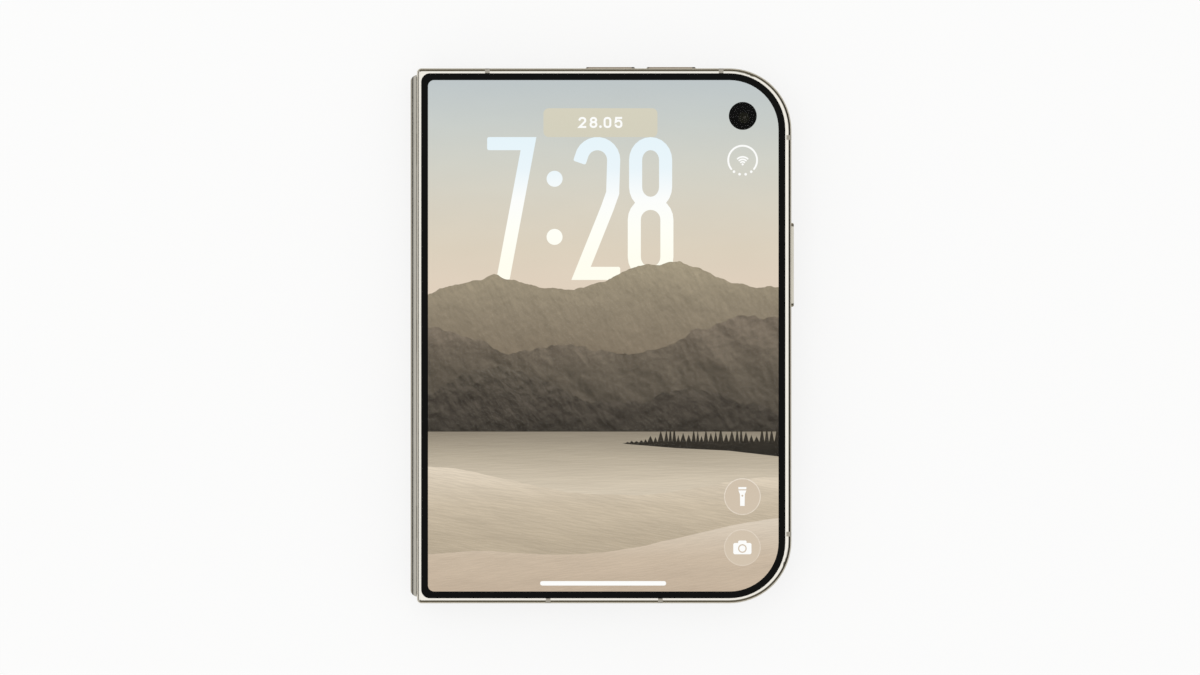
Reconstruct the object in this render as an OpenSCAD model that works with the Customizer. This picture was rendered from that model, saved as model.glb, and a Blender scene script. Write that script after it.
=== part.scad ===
// Book-style folding phone, closed, lying on its back with the cover screen up.
// Working frame: x = 0 and z = 0 lie midway between the two hinge axes, +X runs from the
// spine to the free edge, +Y to the phone's top edge, +Z out of the cover screen.
// place() carries that frame to the part's own one: origin under the middle of the box.

/* [Halves] */
// Width of one half, hinge edge to free edge
half_w = 84.4; // [70:0.1:95]
// Height of the phone
phone_h = 120.6; // [105:0.2:160]
// Thickness of one half, from the fold gap to the outer face
half_t = 5.1; // [4.9:0.1:6]
// Distance of each half's inner rim from the fold's middle plane
rim_gap = 0.15; // [0.1:0.05:0.3]
// Corner radius at the free edge, seen from the front
free_corner_r = 14; // [6:0.5:20]
// Corner radius at the hinge edge
hinge_corner_r = 1; // [1:0.1:1.5]
// Rounding of the outer rim
outer_edge_r = 1; // [0.6:0.1:1]
// Rounding of the inner rim
inner_edge_r = 0.5; // [0.3:0.1:0.7]
// Thickness of the metal web under the inner display
web_t = 0.5; // [0.4:0.1:0.8]
// Thickness of the side walls round the inside
wall_t = 3; // [2.6:0.1:4]

/* [Cover screen] */
// Thickness of the cover glass
glass_t = 0.5; // [0.4:0.05:0.6]
// Frame showing between the glass and the free edge
glass_gap_free = 1.35; // [1.1:0.05:1.8]
// Frame showing between the glass and the top and bottom edges
glass_gap_ends = 1.1; // [1.05:0.05:1.8]
// Frame showing between the glass and the hinge edge
glass_gap_hinge = 0.9; // [0.8:0.02:1.2]
// Corner radius of the glass at the hinge edge
glass_hinge_r = 2; // [1:0.1:4]
// Thickness of the display panel behind the glass
panel_t = 0.3; // [0.25:0.05:0.4]
// Black border between the edge of the glass and the picture
border_w = 1.55; // [1:0.05:3]
// Distance of the camera hole from the free edge
eye_from_edge = 11; // [8:0.5:16]
// Distance of the camera hole from the top edge
eye_from_top = 10.7; // [8:0.1:16]
// Radius of the clear camera window
eye_r = 3.15; // [2:0.05:4]

/* [Hinge] */
// Distance of each hinge axis from the fold's middle plane
axis_z = 1.3; // [1.25:0.05:1.4]
// Half the gap left between the two frames when the phone lies open
open_gap = 0.2; // [0.15:0.05:0.25]
// How far the spine stands out of the closed halves
spine_proud = 1.5; // [1.3:0.05:1.55]
// Half the width of the spine, measured across the thickness
spine_half = 3.1; // [3:0.05:3.15]
// How far the spine's ends lie in from the ends of the halves
spine_end_gap = 1.45; // [1.3:0.05:3]
// Wall of the spine cover
spine_wall = 0.3; // [0.25:0.05:0.35]
// Rounding of the spine's long edges
spine_edge_r = 1.5; // [1.4:0.05:1.6]
// Corner radius of the spine's ends, seen from the front
spine_end_r = 1.7; // [1:0.1:3]
// Number of teeth on each synchronising gear
gear_teeth = 13; // [11:1:15]
// Thickness of the gears
gear_t = 0.8; // [0.6:0.05:0.85]
// Radius of the gear pins
pin_r = 0.45; // [0.35:0.05:0.5]
// Inner radius of the curved rails that run in the chassis
rail_in_r = 0.8; // [0.75:0.05:0.85]
// Thickness of the curved rails and their arms
rail_t = 0.4; // [0.3:0.05:0.4]
// Width of each rail along the hinge
rail_w = 7; // [5:0.5:10]
// Distance between the hinge modules
module_pitch = 42; // [30:1:48]
// Reach of the hinge arms into the halves
arm_reach = 7.6; // [7.2:0.1:7.8]
// Where the wing plates turn, measured from the hinge axes
wing_x = 8.2; // [8:0.1:9]
// Thickness of the wing plates
wing_t = 0.35; // [0.25:0.05:0.35]

/* [Folding display] */
// Thickness of the folding panel
fold_t = 0.35; // [0.25:0.05:0.4]
// Distance of the panel's face from the fold's middle plane
fold_gap = 0.25; // [0.2:0.05:0.3]
// Radius of the panel's loop at its middle line
loop_r = 1.15; // [1.05:0.05:1.15]
// Border between the free edge and the folding panel
fold_border = 2.6; // [2.2:0.1:4]

/* [Buttons] */
// Length of the power button
power_len = 18.9; // [14:0.1:24]
// Height of the power button's centre above the middle
power_y = 16; // [0:0.5:30]
// Length of each volume button
volume_len = 11.1; // [8:0.1:14]
// Distance of the volume buttons' middle from the front half's centre
volume_x = 8.25; // [0:0.05:14]
// Distance between the volume buttons' centres
volume_pitch = 13.7; // [13:0.1:18]
// Width of the buttons across the thickness
button_w = 2.2; // [1.6:0.1:2.4]
// How far the power button stands out
power_proud = 0.55; // [0.3:0.05:0.6]
// How far the volume buttons stand out
volume_proud = 0.3; // [0.3:0.05:0.5]
// Travel of the buttons
button_travel = 0.2; // [0.15:0.05:0.25]
// Clearance round the buttons
button_gap = 0.1; // [0.06:0.02:0.14]

/* [Rear camera] */
// Width of the camera plateau beyond its outer lens rings
plateau_margin = 5.1; // [4.9:0.1:8]
// Height of the camera plateau
plateau_h = 23; // [20:0.5:26]
// How far the plateau stands out of the back glass
plateau_t = 2.2; // [1.2:0.1:3]
// Distance of the plateau's centre from the top edge
plateau_from_top = 18.5; // [17:0.5:30]
// Radius of the large lens rings
lens_ring_r = 7.4; // [6:0.1:8]
// Distance between the lens centres
lens_pitch = 17.5; // [16.5:0.5:20]

/* [Ports and bands] */
// Width of the charging port's mouth
port_w = 8.4; // [8:0.1:9]
// Height of the charging port's mouth
port_h = 2.56; // [2.4:0.02:2.6]
// Depth of the charging port
port_depth = 6.5; // [5:0.1:8]
// Width of the plastic antenna bands
band_w = 1.05; // [0.6:0.05:1.5]
// Distance of the top bands from the centre
band_top_x = 26.35; // [20:0.5:28]
// Distance of the bottom bands from the centre
band_bottom_x = 12.65; // [9:0.5:16]
// Distance of the side bands from the centre
band_side_y = 44.7; // [35:0.1:45]

/* [Hidden] */
$fn = 64;

skin = 0.05;                    // running clearance of pins, rails and screws
seat = 0.1;                     // room round pieces laid in pockets
over = 1;                       // how far a cutter runs past what it cuts

hinge_x = -axis_z + open_gap;   // hinge edge of the halves
free_x = hinge_x + half_w;      // free edge of the halves
mid_x = hinge_x + half_w / 2;
half_h = phone_h / 2;
spine_len = phone_h - 2 * spine_end_gap;
outer_z = rim_gap + half_t;     // outer face of the halves
rim_z = rim_gap + 0.2;          // inner rim of the metal, under the bezel's face
fold_back = fold_gap + fold_t;  // back of the folding panel
web_z = fold_back + 0.05;       // face of the web that the folding panel is bonded to
cavity_z = web_z + web_t;       // floor of the room for the inner pieces
glass_z = outer_z - glass_t;    // seat of the glass
panel_z = glass_z - panel_t;    // back of the cover display
place_x = (spine_proud - power_proud - half_w) / 2 - hinge_x;
place_y = -volume_proud / 2;
place_z = plateau_t + outer_z;

spine_x = hinge_x - spine_proud;               // outermost line of the spine
spine_bulge_r = 18;                            // radius of the spine's gentle crown
spine_open_x = spine_x + spine_edge_r;         // middle of the rounding of its long edges
spine_mouth_x = min(spine_open_x, -rail_in_r - rail_t - skin);   // the cover's open edge
swing_r = max(norm([spine_open_x, spine_half - spine_edge_r - axis_z]) + spine_edge_r + 0.13,
    norm([spine_x, axis_z - open_gap]) + 0.1);   // the room that the cover turns in
chassis_x = 0.2;                               // open side of the chassis
chassis_half = spine_half - spine_wall - 0.05;
chassis_back = spine_x + spine_wall + 0.05;
rail_out_r = rail_in_r + rail_t;
arm_z = axis_z + rail_in_r;                    // inner face of the arms
hinge_roof = arm_z + rail_t;                   // what the arms are screwed against
gear_pitch_r = axis_z;
tooth_m = 2 * gear_pitch_r / gear_teeth;
gear_y = spine_len / 2 - 0.5 - gear_t / 2;     // middle of each gear's thickness
fold_h = gear_y - gear_t / 2 - 0.2;            // half the folding panel's height
fold_x = wing_x - 0.2;                         // where the panel leaves the halves
fold_end_x = free_x - fold_border;
fold_corner_r = free_corner_r - max(fold_border, half_h - fold_h);
wing_z = web_z + 0.33;                         // the wing plates' axis
wing_barrel_r = 0.3;
wing_free_x = chassis_x + 0.4;
wing_half = fold_h - 0.3;

screw_head_r = 0.9;
screw_head_t = 0.3;
screw_r = 0.5;
screw_bite = 0.9;                              // depth of a screw in its frame
button_depth = 1.3;                            // thickness of the wall that a button crosses
button_flange = 0.5;                           // rim that keeps a button in, all round
button_flange_t = 0.35;
button_z = rim_z + (outer_z - rim_z) / 2 - 0.1;
switch_t = 0.7;
eye_x = free_x - eye_from_edge;
eye_y = half_h - eye_from_top;
plateau_y = half_h - plateau_from_top;
plateau_w = 2 * (lens_pitch + lens_ring_r + plateau_margin);
lens_drop = 0.5;                               // how far lens windows sit below their rings

// Length from the panel's bonded edge to the middle of the fold, closed, for a loop whose
// centre is d away from that edge
mid_z = fold_gap + fold_t / 2;
function loop_reach(d) = norm([d, mid_z]);
function loop_turn(d) = atan2(mid_z, d) + acos(loop_r / loop_reach(d));
function loop_length(d) = sqrt(pow(loop_reach(d), 2) - pow(loop_r, 2))
    + loop_r * (180 - loop_turn(d)) * PI / 180;
// The same length, open, is a straight line: halve the interval until the two agree
function loop_fit(low, high, steps) = steps == 0 ? (low + high) / 2
    : loop_length((low + high) / 2) > axis_z + fold_x
        ? loop_fit(low, (low + high) / 2, steps - 1)
        : loop_fit((low + high) / 2, high, steps - 1);
loop_x = fold_x - loop_fit(fold_x / 2, fold_x + 2, 24);
leg_turn = loop_turn(fold_x - loop_x);
wing_tilt = 90 - leg_turn;                     // the wing plates lie along the panel's legs
module place() translate([place_x, place_y, place_z]) children();
module rear() mirror([0, 0, 1]) children();
module both_ends() for (s = [0, 1]) mirror([0, s, 0]) children();
module at_modules() for (k = [-1 : 1]) translate([0, k * module_pitch, 0]) children();

// Extrudes an outline drawn in x and z along the hinge, centred on y = 0
module along_hinge(length) rotate([90, 0, 0]) linear_extrude(length, center = true) children();

// Plan outline of a half, drawn in by its own amount at the hinge edge, free edge and ends
module outline(in_hinge, in_free, in_ends, r_hinge, r_free) {
    x0 = hinge_x + in_hinge;
    x1 = free_x - in_free;
    h = half_h - in_ends;
    difference() {
        translate([x0, -h]) square([x1 - x0, 2 * h]);
        for (s = [-1, 1]) {
            translate([x0, s * h]) corner_cut(r_hinge, 1, -s);
            translate([x1, s * h]) corner_cut(r_free, -1, -s);
        }
    }
}

// What a rounded corner loses; toward x and y point into the outline
module corner_cut(r, toward_x, toward_y) if (r > 0)
    difference() {
        translate([min(0, toward_x * r) - (toward_x > 0 ? over : 0),
            min(0, toward_y * r) - (toward_y > 0 ? over : 0)]) square(r + over);
        translate([toward_x * r, toward_y * r]) circle(r);
    }

// Cross-section of the rim: x runs inward from the outline, y is the height z
module rim_section() intersection() {
    translate([0, rim_z]) square([outer_edge_r, outer_z - rim_z]);
    union() {
        translate([outer_edge_r, outer_z - outer_edge_r]) circle(outer_edge_r);
        translate([inner_edge_r, rim_z + inner_edge_r]) circle(inner_edge_r);
        translate([inner_edge_r, rim_z]) square([outer_edge_r, outer_z - rim_z - outer_edge_r]);
        translate([0, rim_z + inner_edge_r])
            square([outer_edge_r, outer_z - rim_z - inner_edge_r - outer_edge_r]);
    }
}

module rim_corner(x, y, r, turn) translate([x, y, 0]) rotate([0, 0, turn])
    rotate_extrude(angle = 90) translate([r, 0]) mirror([1, 0]) rim_section();

// The rounded rim, carried once round the outline
module rim_ring() {
    hy = half_h - hinge_corner_r;
    fy = half_h - free_corner_r;
    hx = hinge_x + hinge_corner_r;
    fx = free_x - free_corner_r;
    translate([hinge_x, 0, 0]) along_hinge(2 * hy) rim_section();
    translate([free_x, 0, 0]) along_hinge(2 * fy) mirror([1, 0]) rim_section();
    translate([hx, half_h, 0]) rotate([90, 0, 90]) linear_extrude(fx - hx)
        mirror([1, 0]) rim_section();
    translate([hx, -half_h, 0]) rotate([90, 0, 90]) linear_extrude(fx - hx) rim_section();
    rim_corner(fx, fy, free_corner_r, 0);
    rim_corner(hx, hy, hinge_corner_r, 90);
    rim_corner(hx, -hy, hinge_corner_r, 180);
    rim_corner(fx, -fy, free_corner_r, 270);
}

module half_blank() {
    rim_ring();
    translate([0, 0, rim_z]) linear_extrude(outer_z - rim_z)
        outline(outer_edge_r, outer_edge_r, outer_edge_r, hinge_corner_r - outer_edge_r,
            free_corner_r - outer_edge_r);
}

module glass_outline(gap) outline(glass_gap_hinge - gap, glass_gap_free - gap,
    glass_gap_ends - gap, glass_hinge_r + gap, free_corner_r - glass_gap_free + gap);

module bezel_outline(inset) outline(0.5 + inset, 0.5 + inset, 0.5 + inset, 0.5,
    free_corner_r - 0.5 - inset);

// Outline of a stiff half of the folding display from x0 to its free edge, grown by gap
module fold_outline(x0, gap) difference() {
    translate([x0, -fold_h - gap]) square([fold_end_x + gap - x0, 2 * (fold_h + gap)]);
    for (s = [-1, 1]) translate([fold_end_x + gap, s * (fold_h + gap)])
        corner_cut(fold_corner_r + gap, -1, -s);
}

// Room that the spine needs as it turns through a half, with the loop and wing plate in it
module hinge_room() {
    translate([0, 0, axis_z]) along_hinge(spine_len + 0.2) circle(swing_r);
    translate([hinge_x - over, -spine_len / 2 - 0.1, -over])
        cube([over + swing_r - 0.4, spine_len + 0.2, over + axis_z]);
    translate([0, -fold_h - 0.1, -over]) cube([wing_x, 2 * fold_h + 0.2, over + hinge_roof - 0.4]);
    translate([wing_x, 0, wing_z]) along_hinge(2 * fold_h + 0.2) circle(wing_barrel_r + skin);
    translate([wing_x, -fold_h - 0.1, -over]) cube([0.3, 2 * fold_h + 0.2, over + wing_z]);
    at_modules() translate([0, -rail_w / 2 - seat, 0])
        cube([arm_reach + seat, rail_w + 2 * seat, hinge_roof]);
    both_ends() translate([0, gear_y - gear_t / 2 - seat, -over])
        cube([gear_stem_x + seat, gear_t + 2 * seat, over + gear_stem_z + seat]);
    arm_screws() translate([0, 0, -screw_bite - rail_t]) cylinder(r = screw_r + skin,
        h = screw_bite + rail_t + 0.1);
    // The inner corner is rounded about the axis, so the two halves roll past each other
    translate([0, 0, axis_z]) along_hinge(phone_h + 2) difference() {
        translate([-4, -4]) square(4);
        circle(-hinge_x);
    }
}
gear_stem_x = 6;
gear_stem_z = axis_z + 0.4;

// Puts its children, drawn pointing down, at each arm's two screw places
module arm_screws() at_modules() for (s = [-1, 1])
    translate([arm_reach - 1.6, s * (rail_w / 2 - 1.6), arm_z]) mirror([0, 0, 1]) children();

// Cutter for a band, from the middle of the wall outwards; width along x
module band_block() translate([-band_w / 2, -outer_edge_r - 0.15, 0])
    cube([band_w, outer_edge_r + 0.15 + over, outer_z + over]);

module band_blocks() {
    for (s = [-1, 1]) {
        translate([mid_x + s * band_top_x, half_h, 0]) band_block();
        translate([mid_x + s * band_bottom_x, -half_h, 0]) rotate([0, 0, 180]) band_block();
        translate([free_x, s * band_side_y, 0]) rotate([0, 0, -90]) band_block();
    }
}

// Round-ended slot outline, long side along x
module slot(length, width) {
    square([length - width, width], center = true);
    for (s = [-1, 1]) translate([s * (length - width) / 2, 0]) circle(d = width);
}

// Lays children, drawn with x along the edge and z outwards, on the free or the top edge
module at_power() translate([free_x, power_y, button_z]) rotate([90, 0, 90]) children();
module at_volume(k) translate([mid_x + volume_x + k * volume_pitch / 2, half_h, button_z])
    rotate([-90, 0, 0]) children();

module button_cut(length) {
    translate([0, 0, -button_depth - over]) linear_extrude(button_depth + 2 * over)
        slot(length + 2 * button_gap, button_w + 2 * button_gap);
    room = button_flange_t + button_travel + button_gap + switch_t + 0.2;
    translate([0, 0, -button_depth - room]) linear_extrude(room)
        slot(length + 2 * button_flange + 2 * button_gap,
            button_w + 2 * button_flange + 2 * button_gap);
}

module button_solid(length, proud) {
    translate([0, 0, -button_depth - 0.1]) linear_extrude(button_depth + 0.1 + proud - 0.15)
        slot(length, button_w);
    translate([0, 0, proud - 0.15]) linear_extrude(0.15) slot(length - 0.3, button_w - 0.3);
    translate([0, 0, -button_depth - 0.1 - button_flange_t]) linear_extrude(button_flange_t)
        slot(length + 2 * button_flange, button_w + 2 * button_flange);
}

// ---- front half ----

module half_frame() difference() {
    half_blank();
    band_blocks();
    hinge_room();
    translate([0, 0, glass_z]) linear_extrude(glass_t + over) glass_outline(skin);
    translate([0, 0, -over]) linear_extrude(over + fold_back) bezel_outline(0);
    translate([0, 0, -over]) linear_extrude(over + web_z) fold_outline(wing_x, skin);
}

cavity_x = wing_x + 2.2;                       // hinge-side wall of the room inside
module cavity() translate([0, 0, cavity_z]) linear_extrude(outer_z)
    outline(cavity_x - hinge_x, wall_t, wall_t, 1, free_corner_r - wall_t);

module front_frame() color([0.72, 0.70, 0.64]) difference() {
    half_frame();
    cavity();
    translate([0, 0, panel_z]) linear_extrude(outer_z) panel_outline(seat);
    at_power() button_cut(power_len);
    for (k = [-1, 1]) at_volume(k) button_cut(volume_len);
}

module half_bands() difference() {
    intersection() {
        half_blank();
        band_blocks();
    }
    translate([0, 0, glass_z]) linear_extrude(glass_t + over) glass_outline(skin);
    translate([0, 0, -over]) linear_extrude(over + fold_back) bezel_outline(0);
}

module front_antenna_bands() color([0.56, 0.53, 0.45]) half_bands();

module cover_glass() color([0.05, 0.05, 0.06]) translate([0, 0, glass_z])
    linear_extrude(glass_t) glass_outline(0);

module panel_outline(gap) outline(glass_gap_hinge + border_w - 0.4 - gap,
    glass_gap_free + border_w - 0.4 - gap, glass_gap_ends + border_w - 0.4 - gap,
    1.4 + 0.4, free_corner_r - glass_gap_free - border_w + 0.4 + gap);

module cover_display() color([0.80, 0.77, 0.70]) translate([0, 0, panel_z]) difference() {
    linear_extrude(panel_t) panel_outline(0);
    translate([eye_x, eye_y, -over]) cylinder(r = eye_r - 0.5, h = panel_t + 2 * over);
}

camera_barrel_r = 2.4;
module cover_camera() color([0.08, 0.08, 0.09]) translate([eye_x, eye_y, cavity_z]) difference() {
    union() {
        translate([-3.4, -3.4, 0]) cube([6.8, 6.8, 1.5]);
        cylinder(r = camera_barrel_r, h = glass_z - cavity_z);
    }
    translate([0, 0, glass_z - cavity_z - 0.6]) cylinder(r1 = 1.2, r2 = 2.1, h = 0.6 + 0.001);
    translate([0, 0, glass_z - cavity_z - 1.2]) cylinder(r = 1.2, h = 1.2);
}

module cover_camera_lens() color([0.10, 0.13, 0.22])
    translate([eye_x, eye_y, glass_z - 1.2]) intersection() {
        cylinder(r = 1.2 - skin / 5, h = 0.6);
        translate([0, 0, 0.6 - 2.4]) sphere(2.4);
    }

earpiece_w = 16;
earpiece_h = 6;
earpiece_t = 2.2;
module earpiece() color([0.25, 0.25, 0.27])
    translate([mid_x - 14, half_h - wall_t - 0.2 - earpiece_h, cavity_z]) difference() {
        cube([earpiece_w, earpiece_h, earpiece_t]);
        translate([2, 1.5, earpiece_t - 0.3]) cube([earpiece_w - 4, earpiece_h - 3, over]);
    }

magnet_w = 3;
magnet_len = 12;
magnet_x = free_x - wall_t - magnet_w - 1;
board_t = 0.6;
board_hole_r = 0.7;
front_board_w = 15;
front_board_x = magnet_x - front_board_w - 1.9;
cell_x = cavity_x + 1;                         // hinge side of both cells
front_cell_low = -half_h + wall_t + 5.3;
front_cell_len = half_h - wall_t - 13.3 - front_cell_low;
module front_battery() color([0.16, 0.16, 0.18])
    translate([cell_x, front_cell_low, cavity_z]) {
        cube([front_board_x - 2 - cell_x, front_cell_len, panel_z - cavity_z - 0.2]);
        translate([2, front_cell_len, 0]) cube([front_board_x - 6 - cell_x, 1.5, 1.2]);
    }

front_board_len = front_cell_len - 12;
chip_pitch = 14;
module front_board() color([0.08, 0.28, 0.20])
    translate([front_board_x, front_cell_low + 2, cavity_z]) difference() {
        union() {
            cube([front_board_w, front_board_len, board_t]);
            for (y = [4 : chip_pitch : front_board_len - chip_pitch - 8])
                translate([2, y, board_t - 0.01]) cube([front_board_w - 4, chip_pitch - 4, 1.2]);
        }
        for (y = [2, front_board_len - 2]) translate([front_board_w / 2, y, -over])
            cylinder(r = board_hole_r, h = board_t + 2 * over);
    }

module power_button() color([0.70, 0.68, 0.62]) difference() {
    at_power() button_solid(power_len, power_proud);
    at_power() translate([0, 0, power_proud - 0.12]) linear_extrude(over) slot(sensor_len, sensor_w);
}
sensor_len = 16.2;
sensor_w = 1.3;

module fingerprint_sensor() color([0.45, 0.42, 0.36]) at_power()
    translate([0, 0, power_proud - 0.12]) linear_extrude(0.1) slot(sensor_len - 0.1, sensor_w - 0.1);

module volume_up_button() color([0.70, 0.68, 0.62]) at_volume(-1)
    button_solid(volume_len, volume_proud);
module volume_down_button() color([0.70, 0.68, 0.62]) at_volume(1)
    button_solid(volume_len, volume_proud);

switch_z = -button_depth - 0.1 - button_flange_t - button_travel - 0.05;
switch_dome = [3, 1.6];
switch_base = [5, 2];
module button_switch() translate([0, 0, switch_z - 0.35]) {
    linear_extrude(0.35) slot(switch_dome[0], switch_dome[1]);
    translate([0, 0, -0.2]) linear_extrude(0.2) square(switch_base, center = true);
}
module button_switches() color([0.6, 0.6, 0.62]) {
    at_power() button_switch();
    for (k = [-1, 1]) at_volume(k) button_switch();
}

module button_spring_plate(length) translate([0, 0, switch_z - 0.8]) linear_extrude(0.25)
    square([length, button_w], center = true);
module button_spring_plates() color([0.5, 0.5, 0.52]) {
    at_power() button_spring_plate(power_len - 4);
    for (k = [-1, 1]) at_volume(k) button_spring_plate(volume_len - 2);
}

module half_bezel() difference() {
    translate([0, 0, rim_gap]) linear_extrude(fold_back - rim_gap) bezel_outline(0);
    translate([hinge_x - over, -half_h, -over]) cube([over + fold_x - hinge_x, phone_h, 4]);
    translate([0, 0, -over]) linear_extrude(4) fold_outline(fold_x - over, skin);
}
module front_bezel() color([0.06, 0.06, 0.06]) half_bezel();

// Wing plate as it lies when the phone is open, about its own axis
module wing_flat() {
    along_hinge(2 * wing_half) circle(wing_barrel_r);
    translate([wing_free_x - wing_x, -wing_half, web_z - wing_z])
        cube([wing_x - wing_free_x, 2 * wing_half, wing_t]);
}
module half_wing() translate([wing_x, 0, wing_z]) rotate([0, wing_tilt, 0]) wing_flat();
module front_wing_plate() color([0.62, 0.62, 0.64]) half_wing();

// Curved rail about the hinge axis, with the arm that carries it
module hinge_arm() {
    translate([0, 0, axis_z]) intersection() {
        along_hinge(rail_w) difference() {
            circle(rail_out_r);
            circle(rail_in_r);
        }
        translate([-3, -rail_w, 0]) cube([3, 2 * rail_w, 3]);
    }
    translate([0, -rail_w / 2, arm_z]) cube([arm_reach, rail_w, rail_t]);
}
module half_arms() difference() {
    at_modules() hinge_arm();
    arm_screws() translate([0, 0, -1]) cylinder(r = screw_r + skin, h = 2);
}
module front_hinge_arms() color([0.55, 0.55, 0.57]) half_arms();

// Involute flank point at radius r, as an angle from the tooth's middle
base_r = gear_pitch_r * cos(20);
function inv(a) = tan(a) * 180 / PI - a;
function flank(r) = 90 / gear_teeth - 1.2 + inv(20) - inv(acos(min(1, base_r / max(r, base_r))));
gear_tip_r = gear_pitch_r + 0.85 * tooth_m;
gear_root_r = gear_pitch_r - 1.2 * tooth_m;
function tooth(at) = [for (r = [gear_root_r, base_r, gear_pitch_r, gear_tip_r])
        r * [cos(at - flank(r)), sin(at - flank(r))],
    for (r = [gear_tip_r, gear_pitch_r, base_r, gear_root_r])
        r * [cos(at + flank(r)), sin(at + flank(r))]];

// Gear fixed to a half, its stem in the half's wall; start is the angle of one tooth
module half_gear(start) both_ends() translate([0, gear_y, axis_z]) {
    along_hinge(gear_t) difference() {
        union() {
            polygon([for (k = [0 : gear_teeth - 1]) each tooth(start + k * 360 / gear_teeth)]);
            translate([0, -0.4]) square([gear_stem_x, 0.8]);
        }
        circle(pin_r + skin);
    }
}
module front_gears() color([0.75, 0.72, 0.60]) half_gear(270);

module half_screws() arm_screws() {
    cylinder(r = screw_head_r, h = screw_head_t);
    translate([0, 0, -screw_bite - rail_t + 0.1]) cylinder(r = screw_r, h = screw_bite + rail_t - 0.1);
}
module front_screws() color([0.4, 0.4, 0.42]) half_screws();

module half_magnets() for (y = [-half_h + 16.3, half_h - 12.3 - magnet_len])
    translate([magnet_x, y, cavity_z]) cube([magnet_w, magnet_len, 1.6]);
module front_magnets() color([0.5, 0.5, 0.5]) half_magnets();

// ---- folding display ----

module half_panel() translate([0, 0, fold_gap]) linear_extrude(fold_t) fold_outline(fold_x, 0);
module display_front() color([0.03, 0.03, 0.03]) half_panel();
module display_rear() color([0.03, 0.03, 0.03]) rear() half_panel();

// The loop that the panel makes between the halves, as a band of one thickness
function loop_point(r, s) = [loop_x + r * cos(leg_turn), s * r * sin(leg_turn)];
module loop_shape(grow) union() {
    translate([loop_x, 0]) circle(loop_r + grow);
    polygon([[loop_x, 0], loop_point(loop_r + grow, 1),
        [fold_x, mid_z + grow / sin(leg_turn)], [fold_x, -mid_z - grow / sin(leg_turn)],
        loop_point(loop_r + grow, -1)]);
}
module display_fold() color([0.03, 0.03, 0.03]) {
    in_r = loop_r - fold_t / 2;
    out_r = loop_r + fold_t / 2;
    drop = fold_t / 2 / sin(leg_turn);
    along_hinge(2 * fold_h) difference() {
        translate([loop_x, 0]) circle(out_r);
        translate([loop_x, 0]) circle(in_r);
        polygon([[loop_x, 0], loop_point(3, 1), [loop_x + 3, 3], [loop_x + 3, -3], loop_point(3, -1)]);
    }
    for (s = [-1, 1]) along_hinge(2 * fold_h) polygon([loop_point(in_r, s), loop_point(out_r, s),
        [fold_x, s * (mid_z + drop)], [fold_x, s * (mid_z - drop)]]);
}

// ---- spine ----

// Plan of the spine, its straight edge a hair outside the crown so that only the ends are cut
module spine_plan() translate([spine_x - skin, -spine_len / 2]) {
    translate([-1, spine_end_r]) square([5, spine_len - 2 * spine_end_r]);
    translate([spine_end_r, 0]) square([4 - spine_end_r, spine_len]);
    for (y = [spine_end_r, spine_len - spine_end_r]) translate([spine_end_r, y])
        circle(spine_end_r);
}
// Section of the spine, inset by a wall and with its sides run on beyond the open edge
module spine_section(inset, past) intersection() {
    union() {
        for (s = [-1, 1]) translate([spine_open_x, s * (spine_half - spine_edge_r)])
            circle(spine_edge_r - inset);
        translate([spine_x - 1, -spine_half + spine_edge_r])
            square([3, 2 * (spine_half - spine_edge_r)]);
        if (past > 0) translate([spine_open_x, -spine_half + inset])
            square([2 * past, 2 * (spine_half - inset)]);
    }
    translate([spine_x + spine_bulge_r, 0]) circle(spine_bulge_r - inset, $fn = 256);
    translate([spine_x - 1, -spine_half - 1])
        square([1 + spine_mouth_x - spine_x + past, 2 * spine_half + 2]);
}
module spine_cover() color([0.45, 0.43, 0.36]) intersection() {
    difference() {
        along_hinge(spine_len + 2) spine_section(0, 0);
        along_hinge(spine_len - 2 * spine_wall) spine_section(spine_wall, 1);
    }
    translate([0, 0, -5]) linear_extrude(10) spine_plan();
}

// Section of the chassis: a tub that the loop dips into
module chassis_section() difference() {
    intersection() {
        translate([chassis_back, -chassis_half])
            square([chassis_x - chassis_back, 2 * chassis_half]);
        translate([spine_x + spine_bulge_r, 0])
            circle(spine_bulge_r - spine_wall - skin, $fn = 256);
    }
    loop_shape(fold_t / 2 + 0.12);
    for (s = [-1, 1]) translate([spine_open_x, s * (spine_half - spine_edge_r)]) difference() {
        translate([-3, min(0, s * 3)]) square([3, 3]);
        circle(spine_edge_r - spine_wall - 0.05);
    }
}
// Way of one rail and its arm through the chassis
module rail_way() {
    circle(rail_out_r + skin);
    translate([-rail_out_r - skin, 0]) square([4, 4]);
}
module hinge_chassis() color([0.50, 0.50, 0.50]) difference() {
    along_hinge(2 * (gear_y - gear_t / 2 - seat)) chassis_section();
    at_spine_screws() {
        translate([0, 0, -1]) cylinder(r = spine_head_r + skin, h = 1.05 + spine_head_t);
        cylinder(r = spine_screw_r + skin, h = 3);
    }
    at_modules() for (s = [0, 1]) mirror([0, 0, s]) translate([0, 0, axis_z])
        along_hinge(rail_w + 2 * seat) difference() {
            rail_way();
            circle(rail_in_r - skin);
        }
}

// Plates at the spine's ends that hold the gear pins
end_plate_t = 0.35;
end_plate_y = gear_y + gear_t / 2 + skin;
module gear_end_plates() color([0.58, 0.58, 0.6]) both_ends()
    translate([0, end_plate_y + end_plate_t / 2, 0]) difference() {
        along_hinge(end_plate_t) translate([spine_open_x, -chassis_half])
            square([1.9, 2 * chassis_half]);
        for (s = [-1, 1]) translate([0, 0, s * axis_z]) along_hinge(2) circle(pin_r);
    }

module gear_pins() color([0.8, 0.8, 0.8]) both_ends() for (s = [-1, 1])
    translate([0, gear_y + (end_plate_t + skin) / 2, s * axis_z])
        along_hinge(gear_t + end_plate_t + skin) circle(pin_r);

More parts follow.
